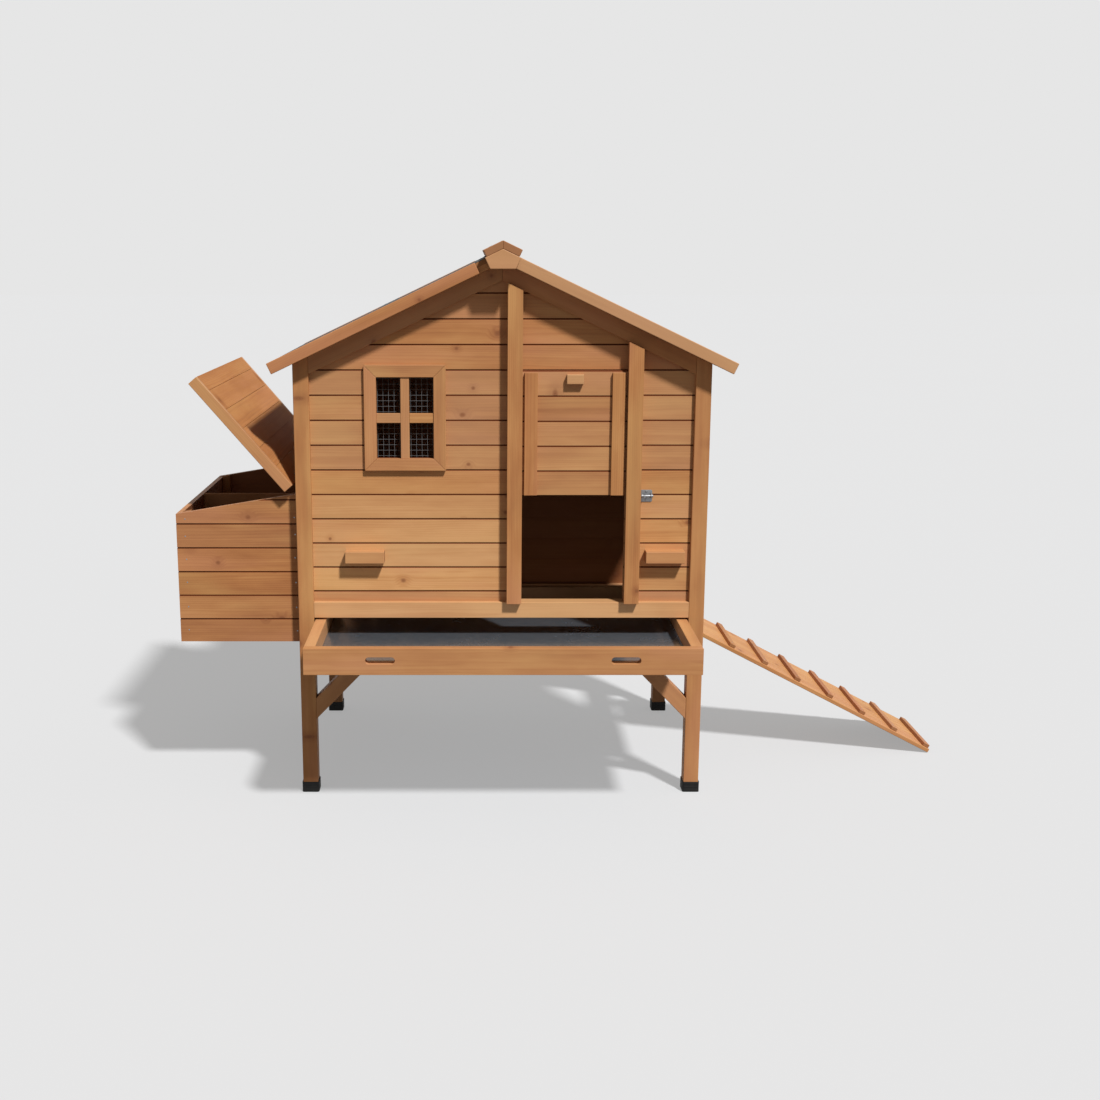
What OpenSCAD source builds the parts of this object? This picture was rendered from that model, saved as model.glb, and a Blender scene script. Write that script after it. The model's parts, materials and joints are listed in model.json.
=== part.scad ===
// Raised timber hen house on legs: boarded walls under a pitched felt roof, two guillotine doors,
// a nest box with a hinged lid, a pull-out droppings tray and a hinged ramp.
// Millimetres, +Z up. The origin is the middle of the front left foot, on the ground.
// X runs to the right along the front, and Y runs into the depth.

/* [House] */
// Width over the corner posts
house_w = 954; // [900:2:1060]
// Depth over the corner posts
house_d = 650; // [640:2:760]
// Section of the posts, rails and braces
post = 36; // [33:1:39]
// Height of the gap between two boards of the walls, as seen from outside
seam_gap = 2.2; // [1.5:0.1:3]
// Cover width of one wall board
board_pitch = 57.5; // [54:0.5:60]
// Thickness of the wall boards
board_t = 12; // [10:0.5:14]
// Depth of the boarding behind the faces of the posts
siding_recess = 12; // [8:0.5:14]

/* [Legs and base] */
// Height of the top faces of the base rails, on which the tray slides
base_top = 370; // [345:1:372]
// Height of the rubber foot caps
cap_h = 25; // [15:1:40]
// Wall of the rubber foot caps
cap_wall = 2.3; // [1.5:0.1:4]
// Sole of the rubber foot caps
cap_sole = 3; // [2:0.5:6]
// Height at which the underside of a brace meets its leg
brace_z = 184; // [120:1:220]
// Angle of the braces above the ground
brace_angle = 46; // [40:1:52]
// Width of the runners beside the tray
runner_w = 30; // [25:1:40]
// Height of the runners beside the tray
runner_h = 20; // [15:1:30]

/* [Walls] */
// Height of the underside of the front sill
sill_z = 434; // [434:1:444]
// Height of the front sill
sill_h = 38; // [34:1:42]
// Height of the ripped first board on the front sill
first_row_h = 26.4; // [26:0.2:40]
// Height of the rails under the eaves, at their outer faces
top_rail_h = 38.5; // [34:0.5:46]

/* [Roof] */
// Height of the underside of the roof at the ridge
ridge_z = 1255; // [1245:1:1290]
// Pitch of the roof
roof_pitch = 25.4; // [24:0.1:26.5]
// Reach of the eaves past the posts, along the ground
eave_reach = 42.3; // [30:0.1:60]
// Reach of the roof past the front and rear posts
gable_reach = 26; // [15:1:50]
// Thickness of the rafters
rafter_t = 14; // [10:1:20]
// Width of the rafters
rafter_w = 30; // [20:1:40]
// Thickness of the roof boards
roof_board_t = 10; // [8:0.5:14]
// Thickness of the roofing felt
felt_t = 2.2; // [1:0.1:4]
// Thickness of the barge boards
barge_t = 15; // [10:1:22]
// Distance of the left barge board's upper end from the ridge
barge_gap = 57; // [30:1:80]
// Thickness of the gable plates
plate_t = 20; // [12:1:26]
// Half width of a gable plate
plate_w = 40; // [34:1:48]
// Height of a gable plate, square to the roof
plate_h = 27; // [22:1:34]
// Thickness of the ridge cap boards
cap_board_t = 16.5; // [12:0.5:20]
// Half width of the ridge cap, along the ground
ridge_cap_w = 43.4; // [38:0.2:60]

/* [Window] */
// Distance of the window's middle from the left post
window_from_post = 218.8; // [204:0.2:240]
// Height of the middle of the window
window_z = 905; // [880:0.5:920]
// Clear width of the window
window_w = 131; // [110:1:150]
// Clear height of the window
window_h = 186.6; // [160:0.2:200]
// Width of the window frame's members
frame_w = 28; // [20:1:34]
// Thickness of the window frame
frame_t = 11; // [8:0.5:14]
// Width of the upright glazing bar
muntin_w = 20; // [14:1:26]
// Width of the level glazing bar
muntin_level_w = 22; // [14:1:28]
// Thickness of the glazing bars
muntin_t = 8; // [5:0.5:10]
// Pitch of the welded wire mesh
mesh_pitch = 12.7; // [12:0.1:20]
// Thickness of the mesh wires
wire = 1; // [0.8:0.1:1.6]
// Margin of the mesh past the window opening
mesh_margin = 12; // [8:1:16]

/* [Doors] */
// Clear width of both doorways
doorway_w = 240; // [220:1:250]
// Distance of the front doorway's middle from the right post
front_door_from_post = 275; // [262:1:282]
// Distance of the side doorway's middle from the rear post
side_door_from_post = 235; // [226:1:260]
// Number of wall boards beside a doorway, above the ripped first one
doorway_rows = 4; // [3:1:4]
// Width of the door guides
guide_w = 34; // [28:1:38]
// Thickness of the door guides, from the boarding outwards
guide_t = 30; // [26:1:34]
// Depth of the rebate that holds the doors in their guides
guide_rebate = 8; // [6:0.5:12]
// Thickness of the door boards
door_t = 9; // [7:0.5:10]
// Height of the front door
front_door_h = 287.5; // [260:0.5:300]
// Height of the side door
side_door_h = 257; // [250:0.5:258]
// Width of the stiles on the doors
stile_w = 30; // [24:1:36]
// Thickness of the stiles on the doors
stile_t = 9; // [6:0.5:9]
// Distance of the stiles from the guides
stile_gap = 5; // [3:0.5:8]
// Width of the door handle blocks
handle_w = 39; // [30:1:60]
// Height of the door handle blocks
handle_h = 22; // [16:1:30]
// Depth of the door handle blocks
handle_t = 14; // [10:1:20]
// How far the front door drops from its raised place
front_door_drop = 253; // [230:1:254]
// Running clearance of the sliding pieces
run_gap = 0.5; // [0.4:0.1:0.8]

/* [Bolts] */
// Radius of the bolt rods
rod_r = 3; // [2.5:0.1:3.5]
// Width and height of the bolt plates
bolt_plate = 28; // [28:1:34]
// Thickness of the bolt plates and their straps
bolt_sheet = 1.5; // [1.2:0.1:2]
// Travel of the bolts
bolt_travel = 12; // [8:1:12]

/* [Grips] */
// Length of the lifting grips
grip_w = 91; // [80:1:100]
// Height of the lifting grips
grip_h = 28; // [22:1:32]
// Depth of the lifting grips
grip_t = 30; // [22:1:36]
// Height of the undersides of the lifting grips
grip_z = 568.5; // [550:0.5:590]
// Distance of the left lifting grip from the left post
grip_left_gap = 77.1; // [60:0.1:95]
// Distance of the right lifting grip from the right post
grip_right_gap = 15; // [8:0.5:24]

/* [Perches] */
// Width of the perches
perch_w = 36; // [30:1:45]
// Height of the perches
perch_h = 26; // [20:1:34]
// Height of the undersides of the perches
perch_z = 560; // [540:1:600]

/* [Nest box] */
// Reach of the nest box from the posts
nest_reach = 287; // [260:1:300]
// Height of the underside of the nest box
nest_z = 366.6; // [366:0.2:372]
// Height of the nest box at its outer wall
nest_wall_h = 309.4; // [300:0.2:314]
// Fall of the nest lid when it is shut
nest_fall = 9.5; // [8:0.1:10]
// Section of the corner uprights of the nest box
upright = 20; // [16:1:24]
// Width of the two holes from the house into the nests
nest_hole_w = 200; // [180:1:210]

/* [Nest lid] */
// How far the lid stands open from its shut place
lid_open = 59.1; // [50:0.1:66]
// Length of the lid down its slope
lid_len = 328; // [315:1:340]
// Overhang of the lid past the front and rear of the nest box
lid_reach = 31; // [24:1:34]
// Thickness of the lid boards
lid_board_t = 12; // [10:1:14]
// Thickness of the battens under the lid boards
lid_batten_t = 10; // [8:1:14]
// Depth of the boards at the two ends of the lid
lid_rim_h = 24; // [23:1:30]
// Thickness of the boards at the two ends of the lid
lid_rim_t = 15; // [10:1:16]

/* [Tray] */
// How far the tray stands out at the front
tray_out = 250; // [150:1:300]
// Depth of the tray from front to rear
tray_d = 600; // [560:1:605]
// Clearance of the tray to the posts
tray_gap = 3; // [2:0.5:5]
// Height of the tray
tray_h = 59; // [50:1:61]
// Thickness of the tray's front board
tray_front_t = 24; // [18:1:28]
// Thickness of the tray's other boards
tray_side_t = 25; // [18:1:28]
// Height of the sheet metal floor above the underside of the tray
pan_z = 17; // [8:1:20]
// Thickness of the sheet metal floor
pan_t = 1.2; // [0.8:0.1:2]
// Length of the finger slots
slot_w = 65; // [50:1:80]
// Height of the finger slots
slot_h = 16; // [14:1:20]
// Distance of the finger slots from the middle of the tray
slot_x = 269.5; // [200:0.5:300]
// Height of the middle of the finger slots above the underside of the tray
slot_z = 32.2; // [30:0.2:36]

/* [Ramp] */
// Length of the ramp from its hinge
ramp_len = 722; // [700:1:760]
// Width of the ramp
ramp_w = 220; // [180:1:226]
// Thickness of the ramp board
ramp_t = 10; // [8:0.5:14]
// Height of the ramp's hinge pins
ramp_pin_z = 341.4; // [336:0.2:345]
// Number of climbing cleats
cleats = 7; // [4:1:7]
// Distance from cleat to cleat
cleat_pitch = 96.9; // [90:0.1:98]
// Width of the cleats
cleat_w = 16; // [10:1:20]
// Height of the cleats
cleat_h = 9; // [6:0.5:10]

/* [Hinges] */
// Radius of the hinge knuckles
knuckle_r = 4; // [3.5:0.1:4.4]
// Radius of the hinge pins
pin_r = 1.8; // [1.4:0.1:2]
// Clearance of the hinge pins in their knuckles
pin_gap = 0.05; // [0.03:0.01:0.08]
// Length of one hinge
hinge_w = 48; // [36:1:60]
// Width of the hinge leaves from the pin
leaf_w = 24; // [18:1:26]
// Thickness of the hinge leaves
leaf_t = 1.5; // [1.2:0.1:2]

/* [Hidden] */
$fn = 48;

// Colours
fir = [0.80, 0.57, 0.37];
pale_fir = [0.85, 0.64, 0.43];
dark_fir = [0.66, 0.44, 0.27];
zinc = [0.66, 0.68, 0.70];
rubber = [0.09, 0.09, 0.10];
felt = [0.22, 0.22, 0.23];

// A hair of air between pieces that meet in one node, so that each stays a piece of its own
fit = 0.2;
// Air left under a moving piece where it rests
rest_gap = 0.3;
// The narrowest board that a wall is closed with
min_rip = 25;
// Chamfer on the upper edge of each wall board
board_chamfer = 1.4;
// Height of the tongues and depth of the grooves
tongue_h = 3.6;
groove_h = 4;

// Places of the posts, with X measured from the middle of the house
half_w = house_w / 2;
inner_w = half_w - post;
rear_y = house_d - post;
sill_top = sill_z + sill_h;
seam_z = sill_top + first_row_h;
doorway_top = seam_z + doorway_rows * board_pitch;
siding_in = siding_recess + board_t;
base_z = base_top - post;
top_rail_z = under(half_w) - top_rail_h;
window_x = window_from_post - inner_w;
front_door_x = inner_w - front_door_from_post;
side_door_y = rear_y - side_door_from_post;

// Roof thicknesses, square to the slope
boards_w = rafter_t;
felt_w = rafter_t + roof_board_t;
roof_t = felt_w + felt_t;
eave_u = (half_w + eave_reach) / cos(roof_pitch);
roof_y0 = -gable_reach;
roof_y1 = house_d + gable_reach;

// Doors and bolts, in the frame of their wall
door_face = siding_recess - run_gap - door_t;
door_half = doorway_w / 2 + guide_rebate - 0.7;
front_door_z = sill_top + 2.2 + front_door_drop;
side_door_z = top_rail_z - 1 - side_door_h;
bolt_y = siding_recess - bolt_sheet - rod_r - 0.5;
bolt_drop = rod_r + 0.2;
rod_tip = doorway_w / 2 + guide_rebate;
strap_w = 4;
strap_gap = bolt_travel + 6;
knob_r = 2.4;

// Nest box
nest_x = -half_w - nest_reach;
nest_top_z = nest_z + nest_wall_h;
nest_y0 = post;
nest_y1 = rear_y;
nest_mid = (nest_y0 + nest_y1) / 2;
nest_hole_z0 = seam_z - board_pitch;
nest_hole_z1 = seam_z + 3 * board_pitch;
nest_bay = (nest_y1 - nest_y0) / 4 - board_t / 4;
ledger_t = siding_recess;
ledger_h = 44;

// Lid, in a frame with its pin at the origin and the shut lid's top face level
lid_pin_gap = 1;
lid_pin_x = -half_w - knuckle_r - lid_pin_gap;
lid_pin_z = nest_line(lid_pin_x) + (lid_board_t + lid_batten_t + rest_gap) / cos(nest_fall);
lid_start = knuckle_r + 0.2;
lid_y0 = nest_y0 - lid_reach;
lid_y1 = nest_y1 + lid_reach;

// Tray
tray_z = base_top + run_gap;
tray_half = inner_w - tray_gap;
pan_let_in = 4;

// Ramp, in a frame with its pin at the origin and its length along X
ramp_pin_x = half_w + knuckle_r;
ramp_top = knuckle_r - leaf_t;
ramp_low = ramp_t - ramp_top;
ramp_reach = norm([ramp_len, ramp_low]);
ramp_slope = asin((ramp_pin_z - rest_gap) / ramp_reach) - atan2(ramp_low, ramp_len);
ramp_y = side_door_y - ramp_w / 2;
cleat_inset = 4;

// Height of the roof's underside, and of the undersides of the rails below it
function under(x) = ridge_z - tan(roof_pitch) * abs(x);
function rake_line(x) = under(x) - post / cos(roof_pitch);
// Height of the nest box's sloping top edge
function nest_line(x) = nest_top_z + tan(nest_fall) * (x - nest_x);
// Edges of the board rows from a bottom to a top, on a grid of seams through seam
function row_edges(bottom, top, seam) =
    let (first = ceil((bottom + min_rip - seam) / board_pitch),
         last = ceil((top - seam) / board_pitch))
    concat([bottom], [for (k = [first : 1 : last]) seam + k * board_pitch]);
// Section of a tongued board: depth behind its face, then place across the rows
function board_section(a, b, t, gap, chamfer) = [
    [0, a], [0, b - gap - chamfer], [chamfer, b - gap], [t / 3, b - gap],
    [t / 3, b + tongue_h], [2 * t / 3, b + tongue_h], [2 * t / 3, b - fit], [t, b - fit],
    [t, a], [2 * t / 3 + fit, a], [2 * t / 3 + fit, a + groove_h],
    [t / 3 - fit, a + groove_h], [t / 3 - fit, a]
];

// The frame of the house: X from its middle, Y from the faces of the front posts
module house() {
    translate([half_w - post / 2, -post / 2, 0]) children();
}

// The frames of the walls, seen from outside: X to the right and Y into the wall
module on_rear() {
    translate([0, house_d, 0]) rotate([0, 0, 180]) children();
}
module on_left() {
    translate([-half_w, house_d, 0]) rotate([0, 0, -90]) children();
}
module on_right() {
    translate([half_w, 0, 0]) rotate([0, 0, 90]) children();
}

// An outline in X and Z, drawn out along Y
module along_y(y0, y1) {
    translate([0, y1, 0]) rotate([90, 0, 0]) linear_extrude(y1 - y0) children();
}
// An outline in Y and Z, drawn out along X
module along_x(x0, x1) {
    translate([x0, 0, 0]) rotate([90, 0, 90]) linear_extrude(x1 - x0) children();
}
// A block between two corners
module block(a, b) {
    translate(a) cube(b - a);
}
// A rod along X, Y between its ends
module rod_x(x0, x1, r) {
    translate([x0, 0, 0]) rotate([0, 90, 0]) cylinder(h = x1 - x0, r = r);
}
module rod_y(y0, y1, r) {
    translate([0, y0, 0]) rotate([-90, 0, 0]) cylinder(h = y1 - y0, r = r);
}

// Level tongued boards from x0 to x1 with their outer face at y = face
module boarding(x0, x1, edges, face, t = board_t, gap = seam_gap, chamfer = board_chamfer) {
    for (i = [0 : len(edges) - 2])
        translate([0, face, 0]) along_x(x0, x1)
            polygon(board_section(edges[i], edges[i + 1], t, gap, chamfer));
}
// Boarding cut to an outline, with holes given as [x0, x1, z0, z1]
module boarded_wall(outline, edges, x0, x1, face, holes = []) {
    intersection() {
        difference() {
            boarding(x0, x1, edges, face);
            for (h = holes)
                block([h[0], face - 1, h[2]], [h[1], face + board_t + 1, h[3]]);
        }
        along_y(face - 2, face + board_t + 2) polygon(outline);
    }
}
// Outline of a gable wall between its posts
function gable_outline(bottom) = [
    [-inner_w, bottom], [inner_w, bottom], [inner_w, rake_line(inner_w)],
    [0, rake_line(0)], [-inner_w, rake_line(inner_w)]
];

// Legs
module leg(side, y) {
    color(fir) along_y(y, y + post) polygon([
        [side * half_w, cap_sole], [side * half_w, under(half_w)],
        [side * inner_w, under(inner_w)], [side * inner_w, cap_sole]
    ]);
}
module leg_front_left() {
    house() leg(-1, 0);
}
module leg_front_right() {
    house() leg(1, 0);
}
module leg_rear_left() {
    house() leg(-1, rear_y);
}
module leg_rear_right() {
    house() leg(1, rear_y);
}

// A square block with rounded corners, on its middle
module soft_square(w, h, r) {
    half = w / 2;
    translate([-half + r, -half, 0]) cube([w - 2 * r, w, h]);
    translate([-half, -half + r, 0]) cube([w, w - 2 * r, h]);
    for (x = [-1, 1], y = [-1, 1])
        translate([x * (half - r), y * (half - r), 0]) cylinder(h = h, r = r);
}
module foot_caps() {
    color(rubber) house() for (x = [-1, 1], y = [0, rear_y])
        translate([x * (half_w - post / 2), y + post / 2, 0]) difference() {
            soft_square(post + 2 * cap_wall, cap_h, cap_wall + 2);
            translate([-post / 2, -post / 2, cap_sole]) cube([post, post, cap_h]);
        }
}

// Rails between the legs, under the tray
module base_rails() {
    color(fir) house() {
        for (y = [0, rear_y])
            block([-inner_w, y, base_z], [inner_w, y + post, base_top]);
        for (x = [-half_w, inner_w])
            block([x, post, base_z], [x + post, rear_y, base_top]);
    }
}
// Braces from the legs to the front and rear base rails
module leg_braces() {
    run = (base_z - brace_z) / tan(brace_angle);
    rise = post / cos(brace_angle);
    width = post / sin(brace_angle);
    color(dark_fir) house() for (side = [-1, 1], y = [0, rear_y])
        along_y(y, y + post) polygon([
            [side * inner_w, brace_z], [side * (inner_w - run), base_z],
            [side * (inner_w - run + width), base_z], [side * inner_w, brace_z + rise]
        ]);
}
// Runners on the side base rails that carry the tray
module tray_runners() {
    color(pale_fir) house() for (x = [-inner_w, inner_w - runner_w])
        block([x, post, base_top - runner_h], [x + runner_w, rear_y, base_top]);
}

// Rails of the walls
module front_sill() {
    color(pale_fir) house() block([-inner_w, 0, sill_z], [inner_w, post, sill_top]);
}
module rake_rails() {
    color(fir) house() for (side = [-1, 1], y = [0, rear_y])
        along_y(y, y + post) polygon([
            [side * fit / 2, rake_line(fit / 2)], [side * inner_w, rake_line(inner_w)],
            [side * inner_w, under(inner_w)], [side * fit / 2, under(fit / 2)]
        ]);
}
module side_top_rails() {
    color(fir) house() for (side = [-1, 1])
        along_y(post, rear_y) polygon([
            [side * inner_w, top_rail_z], [side * half_w, top_rail_z],
            [side * half_w, under(half_w)], [side * inner_w, under(inner_w)]
        ]);
}

// Boarded walls
module front_siding() {
    door_hole = [front_door_x - doorway_w / 2, front_door_x + doorway_w / 2, sill_z, doorway_top];
    window_hole = [window_x - window_w / 2, window_x + window_w / 2,
                   window_z - window_h / 2, window_z + window_h / 2];
    color(fir) house() boarded_wall(
        gable_outline(sill_top), row_edges(sill_top, rake_line(0), seam_z),
        -inner_w, inner_w, siding_recess, [door_hole, window_hole]);
}
module rear_siding() {
    color(fir) house() on_rear() boarded_wall(
        gable_outline(base_top), row_edges(base_top, rake_line(0), seam_z),
        -inner_w, inner_w, siding_recess);
}
// Boarding of a side wall between its posts, from the base rail to the top rail
module side_boarding(holes) {
    outline = [[post, base_top], [rear_y, base_top], [rear_y, top_rail_z], [post, top_rail_z]];
    boarded_wall(outline, row_edges(base_top, top_rail_z, seam_z), post, rear_y,
                 siding_recess, holes);
}
module left_siding() {
    color(fir) house() on_left() side_boarding([for (side = [-1, 1])
        let (x = house_d - nest_mid + side * nest_bay)
        [x - nest_hole_w / 2, x + nest_hole_w / 2, nest_hole_z0, nest_hole_z1]]);
}
module right_siding() {
    color(fir) house() on_right() side_boarding(
        [[side_door_y - doorway_w / 2, side_door_y + doorway_w / 2, sill_top, doorway_top]]);
}
// Stud that backs the boards between the two nest holes
module left_wall_stud() {
    stud_t = 24;
    color(pale_fir) house() block(
        [-half_w + siding_in, nest_mid - post / 2, sill_z],
        [-half_w + siding_in + stud_t, nest_mid + post / 2, top_rail_z]);
}

// Window
module window_frame() {
    inner_x = window_w / 2;
    inner_z = window_h / 2;
    outer_x = inner_x + frame_w;
    outer_z = inner_z + frame_w;
    y0 = siding_recess - frame_t;
    color(pale_fir) house() translate([window_x, 0, window_z]) for (s = [-1, 1]) {
        along_y(y0, siding_recess) polygon([
            [s * inner_x, fit - inner_z], [s * outer_x, fit - outer_z],
            [s * outer_x, outer_z - fit], [s * inner_x, inner_z - fit]
        ]);
        along_y(y0, siding_recess) polygon([
            [-inner_x, s * inner_z], [-outer_x, s * outer_z],
            [outer_x, s * outer_z], [inner_x, s * inner_z]
        ]);
    }
}
module window_muntins() {
    y1 = siding_recess;
    y0 = y1 - muntin_t;
    color(pale_fir) house() translate([window_x, 0, window_z]) {
        block([-muntin_w / 2, y0, -window_h / 2], [muntin_w / 2, y1, window_h / 2]);
        for (side = [-1, 1]) {
            x0 = side * (muntin_w / 2 + fit);
            x1 = side * window_w / 2;
            block([min(x0, x1), y0, -muntin_level_w / 2], [max(x0, x1), y1, muntin_level_w / 2]);
        }
    }
}
// Welded wire mesh on the inside of the boarding
module window_mesh() {
    net_w = window_w + 2 * mesh_margin;
    net_h = window_h + 2 * mesh_margin;
    columns = floor(net_w / mesh_pitch);
    rows = floor(net_h / mesh_pitch);
    hole = mesh_pitch - wire;
    color(zinc) house() translate([window_x, 0, window_z]) along_y(siding_in, siding_in + wire)
        difference() {
            square([columns * mesh_pitch + wire, rows * mesh_pitch + wire], center = true);
            for (i = [0 : columns - 1], k = [0 : rows - 1])
                translate([(i - (columns - 1) / 2) * mesh_pitch, (k - (rows - 1) / 2) * mesh_pitch])
                    square(hole, center = true);
        }
}

// Guides of a guillotine door, in the frame of its wall, with a hole for the bolt in the right one
module door_guides(middle, bolt_z, z0, outline) {
    y0 = siding_recess - guide_t;
    y1 = siding_recess;
    rebate_y = door_face - run_gap;
    intersection() {
        difference() {
            for (side = [-1, 1])
                translate([middle, 0, z0]) linear_extrude(ridge_z - z0) polygon([
                    [side * doorway_w / 2, y0], [side * (doorway_w / 2 + guide_w), y0],
                    [side * (doorway_w / 2 + guide_w), y1],
                    [side * (doorway_w / 2 + guide_rebate), y1],
                    [side * (doorway_w / 2 + guide_rebate), rebate_y],
                    [side * doorway_w / 2, rebate_y]
                ]);
            translate([middle, bolt_y, bolt_z])
                rod_x(doorway_w / 2 - 1, doorway_w / 2 + guide_w + 1, rod_r + rest_gap);
        }
        along_y(y0 - 1, y1 + 1) polygon(outline);
    }
}
module front_door_guides() {
    color(pale_fir) house() door_guides(front_door_x, front_door_z - bolt_drop, sill_top,
                                        gable_outline(sill_top));
}
module side_door_guides() {
    outline = [[0, 0], [house_d, 0], [house_d, top_rail_z], [0, top_rail_z]];
    color(pale_fir) house() on_right() door_guides(side_door_y, side_door_z - bolt_drop,
                                                   sill_top, outline);
}

// Boards of a guillotine door, raised
module door_boards(middle, z, h) {
    intersection() {
        boarding(middle - door_half, middle + door_half, row_edges(z, z + h, z), door_face,
                 door_t);
        block([middle - door_half, 0, z], [middle + door_half, siding_recess, z + h]);
    }
}
module door_stiles(middle, z, h) {
    for (side = [-1, 1])
        translate([middle + side * (doorway_w / 2 - stile_gap - stile_w / 2) - stile_w / 2,
                   door_face - stile_t, z])
            cube([stile_w, stile_t, h - stile_gap]);
}
module door_handle(middle, z, h) {
    translate([middle - handle_w / 2, door_face - handle_t, z + h - handle_h - 9])
        cube([handle_w, handle_t, handle_h]);
}
module front_door_boards() {
    color(fir) house() door_boards(front_door_x, front_door_z, front_door_h);
}
module front_door_stiles() {
    color(pale_fir) house() door_stiles(front_door_x, front_door_z, front_door_h);
}
module front_door_handle() {
    color(pale_fir) house() door_handle(front_door_x, front_door_z, front_door_h);
}
module side_door_boards() {
    color(fir) house() on_right() door_boards(side_door_y, side_door_z, side_door_h);
}
module side_door_stiles() {
    color(pale_fir) house() on_right() door_stiles(side_door_y, side_door_z, side_door_h);
}
module side_door_handle() {
    color(pale_fir) house() on_right() door_handle(side_door_y, side_door_z, side_door_h);
}

// Barrel bolts, with X from the outer face of the right guide and the rod on the X axis
module at_bolt(middle, door_z) {
    translate([middle + doorway_w / 2 + guide_w, bolt_y, door_z - bolt_drop]) children();
}
module bolt_case() {
    plate_y = siding_recess - bolt_y - bolt_sheet;
    strap_r = rod_r + pin_gap + bolt_sheet;
    first = 3;
    difference() {
        union() {
            block([1, plate_y, -bolt_plate / 2], [1 + bolt_plate, plate_y + bolt_sheet, bolt_plate / 2]);
            for (x = [first, first + strap_w + strap_gap]) {
                rod_x(x, x + strap_w, strap_r);
                block([x, 0, -strap_r], [x + strap_w, plate_y, strap_r]);
            }
        }
        rod_x(0, 2 * bolt_plate, rod_r + pin_gap);
        for (x = [0, 1])
            translate([1 + bolt_plate / 2, plate_y - 1, (x - 0.5) * (bolt_plate - 9)])
                rod_y(0, bolt_sheet + 2, 1.6);
    }
}
module bolt_rod() {
    tip = rod_tip - doorway_w / 2 - guide_w;
    rod_x(tip, bolt_plate + 3, rod_r);
    translate([7 + knob_r + 0.4, 0, 0]) rod_y(-14, 0, knob_r);
}
module bolt_cases() {
    color(zinc) house() {
        at_bolt(front_door_x, front_door_z) bolt_case();
        on_right() at_bolt(side_door_y, side_door_z) bolt_case();
    }
}
module front_bolt_rod() {
    color(zinc) house() at_bolt(front_door_x, front_door_z) bolt_rod();
}
module side_bolt_rod() {
    color(zinc) house() on_right() at_bolt(side_door_y, side_door_z) bolt_rod();
}

module lifting_grips() {
    color(pale_fir) house() for (x = [grip_left_gap - inner_w, inner_w - grip_right_gap - grip_w])
        block([x, siding_recess - grip_t, grip_z],
              [x + grip_w, siding_recess, grip_z + grip_h]);
}

// Perches across the left half of the house
perch_places = [-120, -300];
holder_t = 18;
holder_wall = 12;
module perches() {
    color(pale_fir) house() for (x = perch_places)
        block([x - perch_w / 2, siding_in + fit, perch_z],
              [x + perch_w / 2, house_d - siding_in - fit, perch_z + perch_h]);
}
module perch_holders() {
    half = perch_w / 2 + fit;
    color(fir) house() for (x = perch_places, y = [siding_in, house_d - siding_in - holder_t])
        translate([x, 0, perch_z]) along_y(y, y + holder_t) polygon([
            [-half - holder_wall, -holder_wall], [half + holder_wall, -holder_wall],
            [half + holder_wall, perch_h], [half, perch_h], [half, -fit],
            [-half, -fit], [-half, perch_h], [-half - holder_wall, perch_h]
        ]);
}

// One slope of the roof: X down the slope from the ridge, Z square to it
module on_slope(side) {
    mirror([side < 0 ? 1 : 0, 0, 0]) translate([0, 0, ridge_z]) rotate([0, roof_pitch, 0]) children();
}
module roof_rafters() {
    rafters = 4;
    step = (roof_y1 - roof_y0 - rafter_w) / (rafters - 1);
    color(fir) house() for (side = [-1, 1], k = [0 : rafters - 1])
        on_slope(side) block([1, roof_y0 + k * step, 0],
                             [eave_u, roof_y0 + k * step + rafter_w, rafter_t]);
}
module roof_boards(side) {
    edges = row_edges(1, eave_u, 1);
    color(fir) house() on_slope(side) intersection() {
        for (i = [0 : len(edges) - 2])
            along_y(roof_y0, roof_y1)
                polygon([for (p = board_section(edges[i], edges[i + 1], roof_board_t, fit, fit))
                         [p[1], felt_w - p[0]]]);
        block([1, roof_y0, boards_w], [eave_u, roof_y1, felt_w]);
    }
}
module roof_boards_left() {
    roof_boards(-1);
}
module roof_boards_right() {
    roof_boards(1);
}
module roofing_felt() {
    color(felt) house() for (side = [-1, 1])
        on_slope(side) block([1, roof_y0, felt_w], [eave_u, roof_y1, roof_t]);
}
module barge_boards() {
    color(fir) house() for (y = [roof_y0 - barge_t, roof_y1]) {
        on_slope(-1) block([barge_gap, y, 0], [eave_u, y + barge_t, roof_t]);
        on_slope(1) block([1, y, 0], [eave_u, y + barge_t, roof_t]);
    }
}
// Plates over the peaks of the barge boards
module gable_plates() {
    top = ridge_z + roof_t / cos(roof_pitch);
    drop = tan(roof_pitch) * plate_w;
    foot_x = plate_w - plate_h * sin(roof_pitch);
    foot_z = top - drop - plate_h * cos(roof_pitch);
    color(fir) house() for (y = [roof_y0 - barge_t - plate_t, roof_y1 + barge_t])
        along_y(y, y + plate_t) polygon([
            [0, top], [plate_w, top - drop], [foot_x, foot_z], [-foot_x, foot_z],
            [-plate_w, top - drop]
        ]);
}
module ridge_cap() {
    seat = ridge_z + roof_t / cos(roof_pitch);
    rise = cap_board_t / cos(roof_pitch);
    foot_x = ridge_cap_w - cap_board_t * sin(roof_pitch);
    reach = barge_t + plate_t;
    color(dark_fir) house() for (side = [-1, 1])
        along_y(roof_y0 - reach, roof_y1 + reach) polygon([
            [side * fit / 2, seat], [side * foot_x, seat - foot_x * tan(roof_pitch)],
            [side * ridge_cap_w, seat + rise - ridge_cap_w * tan(roof_pitch)],
            [side * fit / 2, seat + rise]
        ]);
}

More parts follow.
